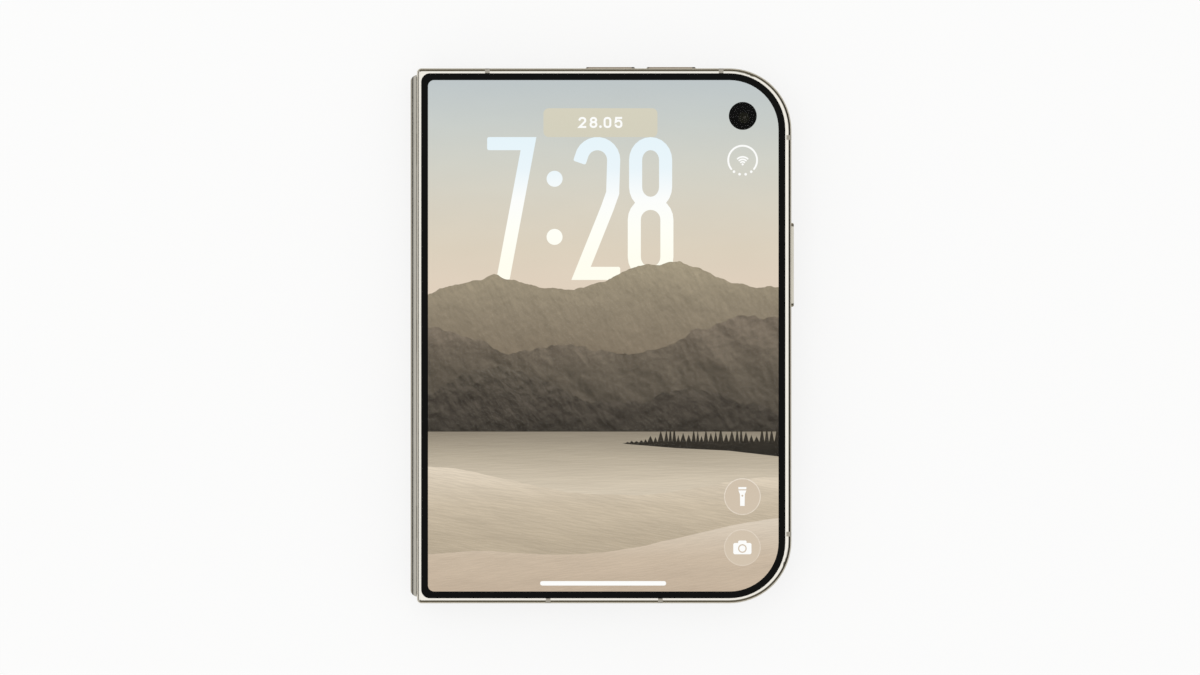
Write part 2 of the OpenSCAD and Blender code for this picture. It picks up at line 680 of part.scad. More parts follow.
// Screws that hold the chassis to the cover, their heads let into the tub's floor
spine_screw_r = 0.3;
spine_head_r = 0.6;
spine_head_t = 0.25;
spine_floor_x = loop_x - loop_r - fold_t / 2 - 0.12;
module at_spine_screws() for (k = [-0.5, 0.5]) translate([spine_floor_x, k * module_pitch, 0])
    rotate([0, -90, 0]) children();
module spine_screws() color([0.4, 0.4, 0.42]) at_spine_screws() {
    translate([0, 0, 0.05]) cylinder(r = spine_head_r, h = spine_head_t);
    translate([0, 0, 0.05]) cylinder(r = spine_screw_r, h = spine_floor_x - chassis_back - 0.05);
}

// ---- rear half: drawn as the front one and mirrored ----

// Puts children at the lens centres of the plateau, k = -1, 0, 1
module at_lens(k) translate([mid_x + k * lens_pitch, plateau_y, 0]) children();
module plateau_outline(inset) translate([mid_x, plateau_y])
    slot(plateau_w - 2 * inset, plateau_h - 2 * inset);
plateau_top = outer_z + plateau_t;             // crown of the lens rings
plateau_deck = outer_z + plateau_t * 0.6;      // rim of the plateau
lens_ring_t = 1.2;                             // width of each ring
plateau_rim = 1.2;
plateau_edge = 0.5;

port_wall = 0.25;
port_z = cavity_z + port_h / 2 + port_wall + 0.05;
module at_bottom(x) translate([mid_x + x, -half_h, port_z]) rotate([90, 0, 0]) children();

speaker_x = band_bottom_x + 8.35;              // middle of the speaker's holes
hole_pitch = 2.1;
hole_r = 0.6;
module speaker_holes() for (k = [-3 : 3]) at_bottom(speaker_x + k * hole_pitch)
    translate([0, 0, -wall_t - over]) cylinder(r = hole_r, h = wall_t + 2 * over);

module rear_frame() color([0.72, 0.70, 0.64]) rear() difference() {
    half_frame();
    cavity();
    at_bottom(0) translate([0, 0, -wall_t - over]) linear_extrude(wall_t + 2 * over)
        slot(port_w + 2 * port_wall + 2 * skin, port_h + 2 * port_wall + 2 * skin);
    speaker_holes();
    at_bottom(-speaker_x / 2) translate([0, 0, -wall_t - over]) cylinder(r = 0.5, h = wall_t + 2 * over);
}

module rear_antenna_bands() color([0.56, 0.53, 0.45]) rear() half_bands();

module back_glass() color([0.85, 0.84, 0.80]) rear() translate([0, 0, glass_z])
    linear_extrude(glass_t) difference() {
        glass_outline(0);
        plateau_outline(-skin);
    }

module camera_plateau() color([0.70, 0.68, 0.62]) rear() difference() {
    union() {
        translate([0, 0, glass_z]) linear_extrude(plateau_deck - plateau_edge - glass_z)
            plateau_outline(0);
        translate([0, 0, plateau_deck - plateau_edge]) linear_extrude(plateau_edge)
            plateau_outline(plateau_edge);
        for (s = [-1, 1]) plateau_end_round(s);
        plateau_side_round();
        for (k = [-1 : 1]) at_lens(k) translate([0, 0, glass_z])
            cylinder(r = lens_ring_r, h = plateau_top - 0.3 - glass_z);
        for (k = [-1 : 1]) at_lens(k) translate([0, 0, plateau_top - 0.3])
            cylinder(r1 = lens_ring_r, r2 = lens_ring_r - 0.3, h = 0.3);
    }
    translate([0, 0, plateau_deck - 0.4]) linear_extrude(over) difference() {
        plateau_outline(plateau_rim);
        for (k = [-1 : 1]) translate([mid_x + k * lens_pitch, plateau_y])
            circle(lens_ring_r + 0.01);
    }
    for (k = [-1 : 1]) at_lens(k) translate([0, 0, glass_z - over])
        cylinder(r = lens_ring_r - lens_ring_t, h = plateau_t + glass_t + 2 * over);
    flash_place() translate([0, 0, glass_z - over]) cylinder(r = flash_r + skin, h = plateau_t + 3);
}
module plateau_end_round(s) translate([mid_x + s * (plateau_w - plateau_h) / 2, plateau_y,
        plateau_deck - plateau_edge])
    rotate([0, 0, s * 90 - 180]) rotate_extrude(angle = 180)
        translate([plateau_h / 2 - plateau_edge, 0]) intersection() {
            circle(plateau_edge);
            square(plateau_edge);
        }
module plateau_side_round() for (s = [-1, 1]) translate([mid_x, plateau_y
        + s * (plateau_h / 2 - plateau_edge), plateau_deck - plateau_edge])
    rotate([0, 90, 0]) intersection() {
        cylinder(r = plateau_edge, h = plateau_w - plateau_h, center = true);
        translate([-plateau_edge, min(0, s * plateau_edge), -plateau_w])
            cube([plateau_edge, plateau_edge, 2 * plateau_w]);
    }

module camera_window() color([0.08, 0.08, 0.09]) rear() translate([0, 0, plateau_deck - 0.4])
    linear_extrude(0.35) difference() {
        plateau_outline(plateau_rim + skin);
        for (k = [-1 : 1]) translate([mid_x + k * lens_pitch, plateau_y])
            circle(lens_ring_r + skin);
        translate([flash_x, plateau_y]) circle(flash_r + 0.4 + skin);
    }

flash_r = 1.5;
flash_x = mid_x + lens_pitch + lens_ring_r + flash_r + 0.7;
module flash_place() translate([flash_x, plateau_y, 0]) children();
module flash_lamp() color([0.93, 0.91, 0.80]) rear() flash_place() {
    translate([0, 0, cavity_z + 0.02]) cylinder(r = 1.2, h = plateau_deck - 1 - cavity_z);
    translate([0, 0, plateau_deck - 1]) cylinder(r = flash_r, h = 0.7);
}

camera_r = lens_ring_r - lens_ring_t - 0.2;
lens_seat = plateau_top - lens_drop - 0.4;
module camera_body(k, side, bore, deep) rear() at_lens(k) difference() {
    union() {
        translate([-side / 2, -side / 2, cavity_z]) cube([side, side, 2.6]);
        translate([0, 0, cavity_z]) cylinder(r = camera_r, h = lens_seat - cavity_z);
    }
    translate([0, 0, lens_seat - deep]) cylinder(r1 = bore / 2, r2 = bore, h = deep + 0.001);
    translate([0, 0, lens_seat - deep - 1]) cylinder(r = bore / 2, h = 2);
}
module main_camera() color([0.10, 0.10, 0.12]) camera_body(0, 12.5, 4.2, 1.2);
module wide_camera() color([0.10, 0.10, 0.12]) camera_body(-1, 11, 3.4, 1);
module tele_camera() color([0.10, 0.10, 0.12]) camera_body(1, 11.5, 3.8, 1.4);

module camera_lenses() color([0.12, 0.14, 0.20, 0.6]) rear() for (k = [-1 : 1]) at_lens(k)
    translate([0, 0, lens_seat]) cylinder(r = lens_ring_r - lens_ring_t - skin, h = 0.4);

// The main board is an L: a strip below the cameras and a column along the magnets
board_top = plateau_y - 8.8;
board_low = -half_h + wall_t + 17.3;           // above the port, the speaker and the motor
strip_h = 15;
column_w = 13.7;
column_x = magnet_x - 0.3 - column_w;
strip_y = board_top - strip_h;
cell_notch_x = 6;                              // notch in the cell's end for its leads
cell_notch_w = 30;
module rear_battery() color([0.16, 0.16, 0.18]) rear()
    translate([cell_x, board_low, cavity_z]) difference() {
        cube([column_x - 2 - cell_x, strip_y - 1 - board_low, glass_z - cavity_z - 0.2]);
        translate([cell_notch_x, strip_y - 2 - board_low, 1.2])
            cube([cell_notch_w, over + 1, outer_z]);
    }

module main_board() color([0.08, 0.28, 0.20]) rear() translate([0, 0, cavity_z])
    linear_extrude(board_t) difference() {
        polygon([[cell_x, strip_y], [column_x, strip_y], [column_x, board_low],
            [column_x + column_w, board_low], [column_x + column_w, board_top],
            [cell_x, board_top]]);
        for (p = [[cell_x + 2, strip_y + 2], [cell_x + 2, board_top - 2],
            [column_x + column_w - 1.4, board_low + 2],
            [column_x + column_w - 1.4, board_top - 2]]) translate(p) circle(board_hole_r);
    }

// Sheet covers over the chips, as places and sizes on the board
can_w = 12;
can_t = 1.6;
can_wall = 0.2;
can_step = 3;                                  // between the covers on the column
strip_can_w = 22;
low_can_h = 13;
mid_can_h = 21;
strip_can_x = cell_x + 5 + strip_can_w + 2;
mid_can_y = board_low + 2 + low_can_h + can_step;
top_can_y = mid_can_y + mid_can_h + can_step;
cans = [[cell_x + 5, strip_y + 2, strip_can_w, strip_h - 4],
    [strip_can_x, strip_y + 2, column_x - 3.9 - strip_can_x, strip_h - 4],
    [column_x + 1, top_can_y, can_w, board_top - 5 - top_can_y],
    [column_x + 1, mid_can_y, can_w, mid_can_h],
    [column_x + 1, board_low + 2, can_w - 2, low_can_h]];
module shield_cans() color([0.75, 0.75, 0.77]) rear() for (c = cans)
    translate([c[0], c[1], cavity_z + board_t]) difference() {
        cube([c[2], c[3], can_t]);
        translate([can_wall, can_wall, -over])
            cube([c[2] - 2 * can_wall, c[3] - 2 * can_wall, over + can_t - can_wall]);
    }

module usb_port() color([0.65, 0.65, 0.68]) rear() at_bottom(0) {
    difference() {
        translate([0, 0, -port_depth - 1]) linear_extrude(port_depth + 0.9)
            slot(port_w + 2 * port_wall, port_h + 2 * port_wall);
        translate([0, 0, -port_depth]) linear_extrude(port_depth + over) slot(port_w, port_h);
    }
    translate([0, 0, -port_depth - 0.5]) linear_extrude(port_depth - 0.6)
        square([6.2, 0.7], center = true);
}

speaker_w = 17;
module loudspeaker() color([0.20, 0.20, 0.22]) rear() intersection() {
    translate([mid_x + speaker_x - 9, -half_h + wall_t + 0.1, cavity_z]) difference() {
        cube([speaker_w, 10, 2.8]);
        translate([1.2, -over, 0.9]) cube([speaker_w - 2.4, over + 2, 1.4]);
    }
    linear_extrude(outer_z) outline(cavity_x - hinge_x, wall_t + skin, wall_t + skin, 1,
        free_corner_r - wall_t - skin);
}

haptic_w = 16;
haptic_h = 12;
module haptic_motor() color([0.60, 0.60, 0.62]) rear()
    translate([cavity_x + 2, -half_h + wall_t + 1, cavity_z]) linear_extrude(2.7) {
        translate([0, 2]) square([haptic_w, haptic_h - 4]);
        translate([1, 0]) square([haptic_w - 2, haptic_h]);
    }

module rear_bezel() color([0.06, 0.06, 0.06]) rear() half_bezel();
module rear_wing_plate() color([0.62, 0.62, 0.64]) rear() half_wing();
module rear_hinge_arms() color([0.55, 0.55, 0.57]) rear() half_arms();
module rear_gears() color([0.75, 0.72, 0.60]) rear() half_gear(270 + 180 / gear_teeth);
module rear_screws() color([0.4, 0.4, 0.42]) rear() half_screws();
module rear_magnets() color([0.5, 0.5, 0.5]) rear() half_magnets();

place() front_frame();
place() front_antenna_bands();
place() cover_glass();
place() cover_display();
place() cover_camera();
place() cover_camera_lens();
place() earpiece();
place() front_battery();
place() front_board();
place() power_button();
place() fingerprint_sensor();
place() volume_up_button();
place() volume_down_button();
place() button_switches();
place() button_spring_plates();
place() front_bezel();
place() front_wing_plate();
place() front_hinge_arms();
place() front_gears();
place() front_screws();
place() front_magnets();
place() display_front();
place() display_fold();
place() display_rear();
place() spine_cover();
place() hinge_chassis();
place() gear_end_plates();
place() gear_pins();
place() spine_screws();
place() rear_frame();
place() rear_antenna_bands();
place() back_glass();
place() camera_plateau();
place() camera_window();
place() main_camera();
place() wide_camera();
place() tele_camera();
place() camera_lenses();
place() flash_lamp();
place() rear_battery();
place() main_board();
place() shield_cans();
place() usb_port();
place() loudspeaker();
place() haptic_motor();
place() rear_bezel();
place() rear_wing_plate();
place() rear_hinge_arms();
place() rear_gears();
place() rear_screws();
place() rear_magnets();
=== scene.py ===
import math
import random

import bmesh
import bpy
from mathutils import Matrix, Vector, noise


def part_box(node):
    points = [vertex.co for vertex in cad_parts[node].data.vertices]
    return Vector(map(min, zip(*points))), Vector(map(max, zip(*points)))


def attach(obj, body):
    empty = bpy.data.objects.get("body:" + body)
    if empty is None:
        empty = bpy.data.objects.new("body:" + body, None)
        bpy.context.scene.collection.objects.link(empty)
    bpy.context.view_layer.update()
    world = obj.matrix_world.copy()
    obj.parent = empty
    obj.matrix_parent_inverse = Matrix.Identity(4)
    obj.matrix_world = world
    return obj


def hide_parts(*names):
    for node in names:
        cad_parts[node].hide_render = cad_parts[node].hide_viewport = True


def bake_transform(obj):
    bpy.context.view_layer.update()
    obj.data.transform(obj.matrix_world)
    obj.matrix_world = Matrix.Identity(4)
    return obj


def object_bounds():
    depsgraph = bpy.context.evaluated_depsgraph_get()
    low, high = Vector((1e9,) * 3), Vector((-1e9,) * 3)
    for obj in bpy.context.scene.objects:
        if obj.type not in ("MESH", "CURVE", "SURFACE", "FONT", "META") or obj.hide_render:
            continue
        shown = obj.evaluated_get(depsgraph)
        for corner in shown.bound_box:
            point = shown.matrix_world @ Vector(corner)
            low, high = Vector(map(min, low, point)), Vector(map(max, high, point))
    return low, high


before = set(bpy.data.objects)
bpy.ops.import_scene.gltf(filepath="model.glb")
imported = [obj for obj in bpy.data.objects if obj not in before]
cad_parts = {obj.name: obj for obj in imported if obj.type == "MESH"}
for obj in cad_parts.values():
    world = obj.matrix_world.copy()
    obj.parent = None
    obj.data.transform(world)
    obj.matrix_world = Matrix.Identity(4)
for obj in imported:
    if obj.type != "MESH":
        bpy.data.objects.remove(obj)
cadLow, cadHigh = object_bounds()
print("frame loaded,", len(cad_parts), "nodes")

mm = 0.001
chance = random.Random(7)  # one seed, so that each run is the same

frontLow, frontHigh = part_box("front_frame")
glassLow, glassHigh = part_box("cover_glass")
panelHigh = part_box("cover_display")[1]
middle = (frontLow + frontHigh) / 2  # the middle of the front half


# small helpers
def paint(colour, alpha=1.0):
    # an sRGB hex colour as the linear one that the shaders work in
    parts = [int(colour[i : i + 2], 16) / 255 for i in (1, 3, 5)]
    linear = [c / 12.92 if c <= 0.04045 else ((c + 0.055) / 1.055) ** 2.4 for c in parts]
    return (*linear, alpha)


def addNode(tree, kind, settings=None, links=None):
    # one node, its settings and what feeds it; stops are a ramp's (place, colour) pairs
    node = tree.nodes.new("ShaderNode" + kind)
    for name, value in (settings or {}).items():
        if name == "stops":
            while len(node.color_ramp.elements) < len(value):
                node.color_ramp.elements.new(1.0)
            for stop, (place, colour) in zip(node.color_ramp.elements, value):
                stop.position = place
                stop.color = paint(colour)
        elif isinstance(name, int) or name in node.inputs:
            node.inputs[name].default_value = value
        else:
            setattr(node, name, value)
    for name, source in (links or {}).items():
        tree.links.new(source, node.inputs[name])
    return node


def newMaterial(name, colour, sockets):
    made = bpy.data.materials.new(name)
    made.use_nodes = True
    shader = made.node_tree.nodes["Principled BSDF"]
    shader.inputs["Base Color"].default_value = paint(colour)
    for socket, value in sockets.items():
        shader.inputs[socket].default_value = value
    return made, made.node_tree, shader


def spotted(tree, size, stretch=(1, 1, 1), turn=0.0, detail=4.0, shift=(0, 0, 0)):
    # noise whose spots are about this many mm wide, stretched along an axis where asked
    place = addNode(tree, "TexCoord")
    mapping = addNode(
        tree,
        "Mapping",
        {
            "vector_type": "TEXTURE",
            "Location": [v * mm for v in shift],
            "Rotation": (0, 0, math.radians(turn)),
            "Scale": [s * size * mm for s in stretch],
        },
        {"Vector": place.outputs["Object"]},
    )
    return addNode(
        tree,
        "TexNoise",
        {"Scale": 1.0, "Detail": detail, "Roughness": 0.55},
        {"Vector": mapping.outputs["Vector"]},
    ).outputs[0]


def litRelief(tree, size, stretch, turn, step):
    # worn ground lit from above: its height less its height one step in mm further up
    here = spotted(tree, size, stretch, turn, 9.0)
    away = spotted(tree, size, stretch, turn, 9.0, (-0.5 * step, -step, 0))
    return addNode(tree, "Math", {"operation": "SUBTRACT"}, {0: here, 1: away}).outputs[0]


def roughen(tree, shader, low, high, pattern):
    # moves the roughness from low to high with the middle range of the pattern
    settings = {"From Min": 0.3, "From Max": 0.7, "To Min": low, "To Max": high}
    moved = addNode(tree, "MapRange", settings, {"Value": pattern})
    tree.links.new(moved.outputs["Result"], shader.inputs["Roughness"])


def raiseGrain(tree, shader, pattern, height, strength=1.0):
    # height in mm
    settings = {"Strength": strength, "Distance": height * mm}
    bump = addNode(tree, "Bump", settings, {"Height": pattern})
    tree.links.new(bump.outputs["Normal"], shader.inputs["Normal"])


def mottle(tree, shader, dark, light, pattern, socket="Base Color"):
    # moves the colour between two close ones with the pattern
    ramp = addNode(tree, "ValToRGB", {"stops": [(0.3, dark), (0.7, light)]}, {"Fac": pattern})
    tree.links.new(ramp.outputs["Color"], shader.inputs[socket])


def loft(bm, rings, capped=True):
    # joins rings of points to one closed skin; an uncapped one closes on its first ring
    loops = [[bm.verts.new(p) for p in ring] for ring in rings]
    pairs = list(zip(loops, loops[1:]))
    if not capped:
        pairs.append((loops[-1], loops[0]))
    for one, two in pairs:
        for i in range(len(one)):
            j = (i + 1) % len(one)
            bm.faces.new((one[i], one[j], two[j], two[i]))
    if capped:
        bm.faces.new(loops[0][::-1])
        bm.faces.new(loops[-1])


def level(outline, z):
    return [(x, y, z) for x, y in outline]


def roundedOutline(low, high, radii, grow=0.0, steps=14):
    # corners from the lower left one anticlockwise
    corners = []
    signs = ((-1, -1), (1, -1), (1, 1), (-1, 1))
    for turn, (sx, sy), radius in zip(range(4), signs, radii):
        x = (high[0] - radius) if sx > 0 else (low[0] + radius)
        y = (high[1] - radius) if sy > 0 else (low[1] + radius)
        for i in range(steps + 1):
            a = math.pi + math.pi / 2 * (turn + i / steps)
            corners.append((x + (radius + grow) * math.cos(a), y + (radius + grow) * math.sin(a)))
    return corners


def circleOutline(x, y, radius, count=48):
    turns = [2 * math.pi * i / count for i in range(count)]
    return [(x + radius * math.cos(a), y + radius * math.sin(a)) for a in turns]


def makePiece(name, body, bm, material, smooth=False):
    bmesh.ops.recalc_face_normals(bm, faces=bm.faces)
    mesh = bpy.data.meshes.new(name)
    bm.to_mesh(mesh)
    bm.free()
    mesh.materials.append(material)
    piece = bpy.data.objects.new(name, mesh)
    bpy.context.scene.collection.objects.link(piece)
    if smooth:
        mesh.shade_smooth()
        mesh.set_sharp_from_angle(angle=math.radians(35))
    if body:
        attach(piece, body)
    return piece


# camera, light and floor
studio = {
    "eye": (-0.483, -0.533, 3312.7),  # mm, straight above the phone
    "lens": 439.2,  # mm
    "sensor": 36.0,  # mm
    "clip": (0.1, 20.0),  # m
    "skyStrength": 0.78,
    "lampPlace": (-0.12, 0.15, 1.0),  # m, it points at the phone
    "lampSize": 0.7,  # m
    "lampPower": 2.2,  # W
    "floorReach": 4.0,  # m
    "floorShade": 0.2,  # how much of the floor's own light and shadow shows
    # a painted shadow round the phone, which only its metal sees in the floor
    "footShade": 60.0,  # mm round the phone where its metal sees the floor darken towards it
    "footShadowColours": ("#ABA69A", "#DCD8CF", "#FFFFFF"),  # at the phone, half way and away from it
    "tableLow": (-172.0, -105.0),  # mm; beyond this table, which also holds the open phone,
    "tableHigh": (88.0, 105.0),  # the metal sees the studio's dark sides
    "tableSoft": 6.0,  # mm
    "darkHeight": 0.77,  # sine of the height up to which the sides are dark
    "darkSoft": 0.08,
    "leftShare": 0.42,  # how much lower they are to the left,
    "leftFrom": -0.6,  # which starts at this share of the direction
    "darkSides": ("#5F5A4D", "#1C1A17"),  # above and below the phone, and to its left and right
}


def makeCamera():
    camera = bpy.data.cameras.new("camera")
    camera.lens = studio["lens"]
    camera.sensor_width = studio["sensor"]
    camera.clip_start, camera.clip_end = studio["clip"]
    holder = bpy.data.objects.new("camera", camera)
    holder.location = [v * mm for v in studio["eye"]]
    bpy.context.scene.collection.objects.link(holder)
    bpy.context.scene.camera = holder
    bpy.context.scene.view_settings.view_transform = "Standard"


def darkSide(tree, direction):
    # the colour that the studio's dark sides have in this direction, and the direction's parts
    parts = addNode(tree, "SeparateXYZ", None, {"Vector": direction}).outputs
    links = {0: parts["X"], 1: parts["X"]}
    across = addNode(tree, "Math", {"operation": "MULTIPLY"}, links).outputs[0]
    ends, sides = [paint(c) for c in studio["darkSides"]]
    colour = addNode(tree, "Mix", {"data_type": "RGBA", "A": ends, "B": sides}, {"Factor": across})
    return colour.outputs["Result"], parts


def makeSky():
    # pale light all round, which the camera sees as white; the metal sees white above and the
    # dark sides of the studio below, which draw the lines in its edges
    world = bpy.data.worlds.new("studio")
    world.use_nodes = True
    bpy.context.scene.world = world
    tree = world.node_tree
    backdrop = tree.nodes["Background"]
    path = addNode(tree, "LightPath").outputs
    seen = path["Is Camera Ray"]
    for ray in ("Is Glossy Ray", "Is Transmission Ray"):
        seen = addNode(tree, "Math", {"operation": "MAXIMUM"}, {0: seen, 1: path[ray]}).outputs[0]
    strengths = {"To Min": studio["skyStrength"], "To Max": 1.0}
    strength = addNode(tree, "MapRange", strengths, {"Value": seen})
    tree.links.new(strength.outputs["Result"], backdrop.inputs["Strength"])

    towards = addNode(tree, "TexCoord").outputs["Generated"]
    dark, parts = darkSide(tree, towards)
    settings = {"operation": "LESS_THAN", 1: studio["leftFrom"]}
    left = addNode(tree, "Math", settings, {0: parts["X"]}).outputs[0]
    settings = {"operation": "MULTIPLY_ADD", 1: studio["leftShare"]}
    height = addNode(tree, "Math", settings, {0: left, 2: parts["Z"]}).outputs[0]
    top, soft = studio["darkHeight"], studio["darkSoft"]
    settings = {"From Min": top + soft, "From Max": top - soft}
    band = addNode(tree, "MapRange", settings, {"Value": height})
    links = {0: band.outputs["Result"], 1: path["Is Glossy Ray"]}
    share = addNode(tree, "Math", {"operation": "MULTIPLY"}, links).outputs[0]
    settings = {"data_type": "RGBA", "A": (1, 1, 1, 1)}
    sides = addNode(tree, "Mix", settings, {"Factor": share, "B": dark})
    tree.links.new(sides.outputs["Result"], backdrop.inputs["Color"])


def makeLamp():
    lamp = bpy.data.lights.new("overheadSoftbox", "AREA")
    lamp.size = studio["lampSize"]
    lamp.energy = studio["lampPower"]
    holder = bpy.data.objects.new("overheadSoftbox", lamp)
    holder.location = studio["lampPlace"]
    holder.rotation_euler = (-Vector(studio["lampPlace"])).to_track_quat("-Z", "Y").to_euler()
    holder.visible_glossy = False  # the pale sky already draws the highlights
    bpy.context.scene.collection.objects.link(holder)


def outside(tree, place, low, high):
    # how far beyond a box on the floor a place is, in metres
    centre = [(a + b) / 2 for a, b in zip(low, high)]
    half = [(b - a) / 2 for a, b in zip(low, high)]
    centred = addNode(tree, "VectorMath", {"operation": "SUBTRACT", 1: (*centre, 0)}, {0: place})
    folded = addNode(tree, "VectorMath", {"operation": "ABSOLUTE"}, {0: centred.outputs["Vector"]})
    settings = {"operation": "SUBTRACT", 1: (*half, 0)}
    beyond = addNode(tree, "VectorMath", settings, {0: folded.outputs["Vector"]})
    parts = addNode(tree, "SeparateXYZ", None, {"Vector": beyond.outputs["Vector"]}).outputs
    links = {0: parts["X"], 1: parts["Y"]}
    return addNode(tree, "Math", {"operation": "MAXIMUM"}, links).outputs[0]


def makeFloorMaterial():
    # a white sweep that the camera sees as white, with a faint shadow on it; the metal sees a
    # painted shadow on it that darkens towards the phone, and sees it end in the studio's dark sides
    # some way off
    made, tree, shader = newMaterial("whiteSweep", "#F4F4F2", {"Roughness": 0.9})
    path = addNode(tree, "LightPath").outputs
    links = {0: path["Is Camera Ray"], 1: path["Is Transmission Ray"]}
    direct = addNode(tree, "Math", {"operation": "MAXIMUM"}, links).outputs[0]
    settings = {"operation": "MULTIPLY", 1: 1 - studio["floorShade"]}
    share = addNode(tree, "Math", settings, {0: direct}).outputs[0]
    white = addNode(tree, "Emission", {"Color": (1, 1, 1, 1), "Strength": 1.0})
    seen = addNode(tree, "MixShader", None, {0: share, 1: shader.outputs[0], 2: white.outputs[0]})

    place = addNode(tree, "TexCoord").outputs["Object"]
    away = outside(tree, place, frontLow.to_2d(), frontHigh.to_2d())
    near = addNode(tree, "MapRange", {"From Max": studio["footShade"] * mm}, {"Value": away})
    # painted shadow round the phone: the colours the metal sees, darkest at the phone
    stops = list(zip((0.0, 0.5, 1.0), studio["footShadowColours"]))
    pale = addNode(tree, "ValToRGB", {"stops": stops}, {"Fac": near.outputs["Result"]})
    table = [[v * mm for v in studio[end]] for end in ("tableLow", "tableHigh")]
    off = outside(tree, place, *table)
    end = addNode(tree, "MapRange", {"From Max": studio["tableSoft"] * mm}, {"Value": off})
    outward = addNode(tree, "VectorMath", {"operation": "NORMALIZE"}, {0: place})
    dark = darkSide(tree, outward.outputs["Vector"])[0]
    links = {"Factor": end.outputs["Result"], "A": pale.outputs["Color"], "B": dark}
    shade = addNode(tree, "Mix", {"data_type": "RGBA"}, links)
    glow = addNode(tree, "Emission", {"Strength": 1.0}, {"Color": shade.outputs["Result"]})
    links = {0: path["Is Glossy Ray"], 1: seen.outputs[0], 2: glow.outputs[0]}
    whole = addNode(tree, "MixShader", None, links)
    tree.links.new(whole.outputs[0], tree.nodes["Material Output"].inputs["Surface"])
    return made


def makeFloor():
    bm = bmesh.new()
    reach = studio["floorReach"]
    corners = [(-reach, -reach), (reach, -reach), (reach, reach), (-reach, reach)]
    bm.faces.new([bm.verts.new((x, y, cadLow.z)) for x, y in corners])
    floor = makePiece("floor", None, bm, makeFloorMaterial())


makeCamera()
makeSky()
makeLamp()
makeFloor()
print("camera, light and floor set")


# finishes of the metal, glass and plastic pieces
def makePolishedTitanium():
    # polished and clear coated: mirror bright and faintly warm, with a light haze of handling
    made, tree, shader = newMaterial("polishedTitanium", "#F0ECE2", {"Metallic": 1.0})
    roughen(tree, shader, 0.09, 0.15, spotted(tree, 7.0, detail=6.0))
    raiseGrain(tree, shader, spotted(tree, 0.8), 0.0004)  # orange peel of the polishing
    return made


def makeSatinTitanium():
    # tumbled and coated button metal: the frame's colour with a softer, even gloss
    made, tree, shader = newMaterial("satinTitanium", "#CFCABD", {"Metallic": 1.0})
    roughen(tree, shader, 0.2, 0.28, spotted(tree, 1.2))
    raiseGrain(tree, shader, spotted(tree, 0.3), 0.0003)
    return made


def makeShadeDarkenedTitanium():
    # blasted button metal with a softer gloss than the frame; its colour, browner and darker than
    # the frame it stands in, is painted shade
    made, tree, shader = newMaterial("shadeDarkenedTitanium", "#9A8D7C", {"Metallic": 1.0})
    roughen(tree, shader, 0.24, 0.34, spotted(tree, 1.2))
    raiseGrain(tree, shader, spotted(tree, 0.25), 0.0003)
    return made


def makeBrushedSpine():
    # anodised aluminium brushed along the fold: pewter grey with fine long lines
    made, tree, shader = newMaterial("brushedAnodised", "#B2AEA4", {"Metallic": 1.0})
    lines = spotted(tree, 0.12, (1, 60, 1), detail=3.0)
    mottle(tree, shader, "#ADA99F", "#B8B4AA", lines)
    roughen(tree, shader, 0.12, 0.2, lines)
    raiseGrain(tree, shader, lines, 0.0003)
    return made


def makeBlastedAluminium():
    # fine bead blasted and anodised: even silk without a mirror in it, grit 0.1 mm drawn 0.2
    made, tree, shader = newMaterial("blastedAluminium", "#DDD8CB", {"Metallic": 1.0})
    grit = spotted(tree, 0.2, detail=2.0)
    roughen(tree, shader, 0.32, 0.42, grit)
    raiseGrain(tree, shader, grit, 0.002)
    return made


def makeAntennaPlastic():
    # glass filled polyester moulded into the slots: matt, a shade darker than the metal
    made, tree, shader = newMaterial("filledPolyester", "#A39D90", {"Roughness": 0.45})
    grain = spotted(tree, 0.3)
    mottle(tree, shader, "#9D978A", "#A9A396", grain)
    raiseGrain(tree, shader, grain, 0.001)
    return made


def makePrintedBlack():
    # ceramic ink printed on the back of the glass: dead black, very slightly clouded
    sockets = {"Roughness": 0.5, "Specular IOR Level": 0.03}
    made, tree, shader = newMaterial("printedBlack", "#10100F", sockets)
    mottle(tree, shader, "#0F0F0E", "#111110", spotted(tree, 4.0))
    return made


def makeInkedGlass():
    # polished glass with black ceramic ink behind it: dead black under a faint mirror gloss
    sockets = {"IOR": 1.5, "Specular IOR Level": 0.04}
    made, tree, shader = newMaterial("inkedGlass", "#0D0D0C", sockets)
    mottle(tree, shader, "#0C0C0B", "#0E0E0D", spotted(tree, 4.0))
    roughen(tree, shader, 0.04, 0.07, spotted(tree, 5.0))
    return made


def makeEtchedGlass():
    # acid etched glass over a pearl film: milky, silky, with a very fine sparkle
    sockets = {"IOR": 1.5, "Coat Weight": 0.25, "Coat Roughness": 0.3}
    made, tree, shader = newMaterial("etchedGlass", "#DDD9CE", sockets)
    sparkle = spotted(tree, 0.25, detail=2.0)
    mottle(tree, shader, "#D9D5CA", "#E1DDD2", sparkle)
    roughen(tree, shader, 0.36, 0.46, sparkle)
    raiseGrain(tree, shader, sparkle, 0.0012)
    return made


def makeBlackGlass():
    # polished glass with a black coat behind it
    made, tree, shader = newMaterial("blackBackedGlass", "#0B0B0C", {"IOR": 1.5})
    roughen(tree, shader, 0.03, 0.07, spotted(tree, 5.0))
    return made


def makeCoatedLens():
    # lens glass with its anti-reflection coat: dark, wet looking, a violet cast in the gloss
    sockets = {"IOR": 1.6, "Specular IOR Level": 0.35, "Specular Tint": paint("#8F93C8")}
    made, tree, shader = newMaterial("coatedLens", "#0A0A10", sockets)
    mottle(tree, shader, "#08080D", "#0D0D15", spotted(tree, 2.5))
    roughen(tree, shader, 0.02, 0.04, spotted(tree, 2.5))
    return made


def makeSapphireWindow():
    # the rear cameras' clear windows: only their gloss shows
    made, tree, shader = newMaterial("sapphireWindow", "#000000", {"IOR": 1.77, "Alpha": 0.12})
    roughen(tree, shader, 0.02, 0.04, spotted(tree, 4.0))
    return made


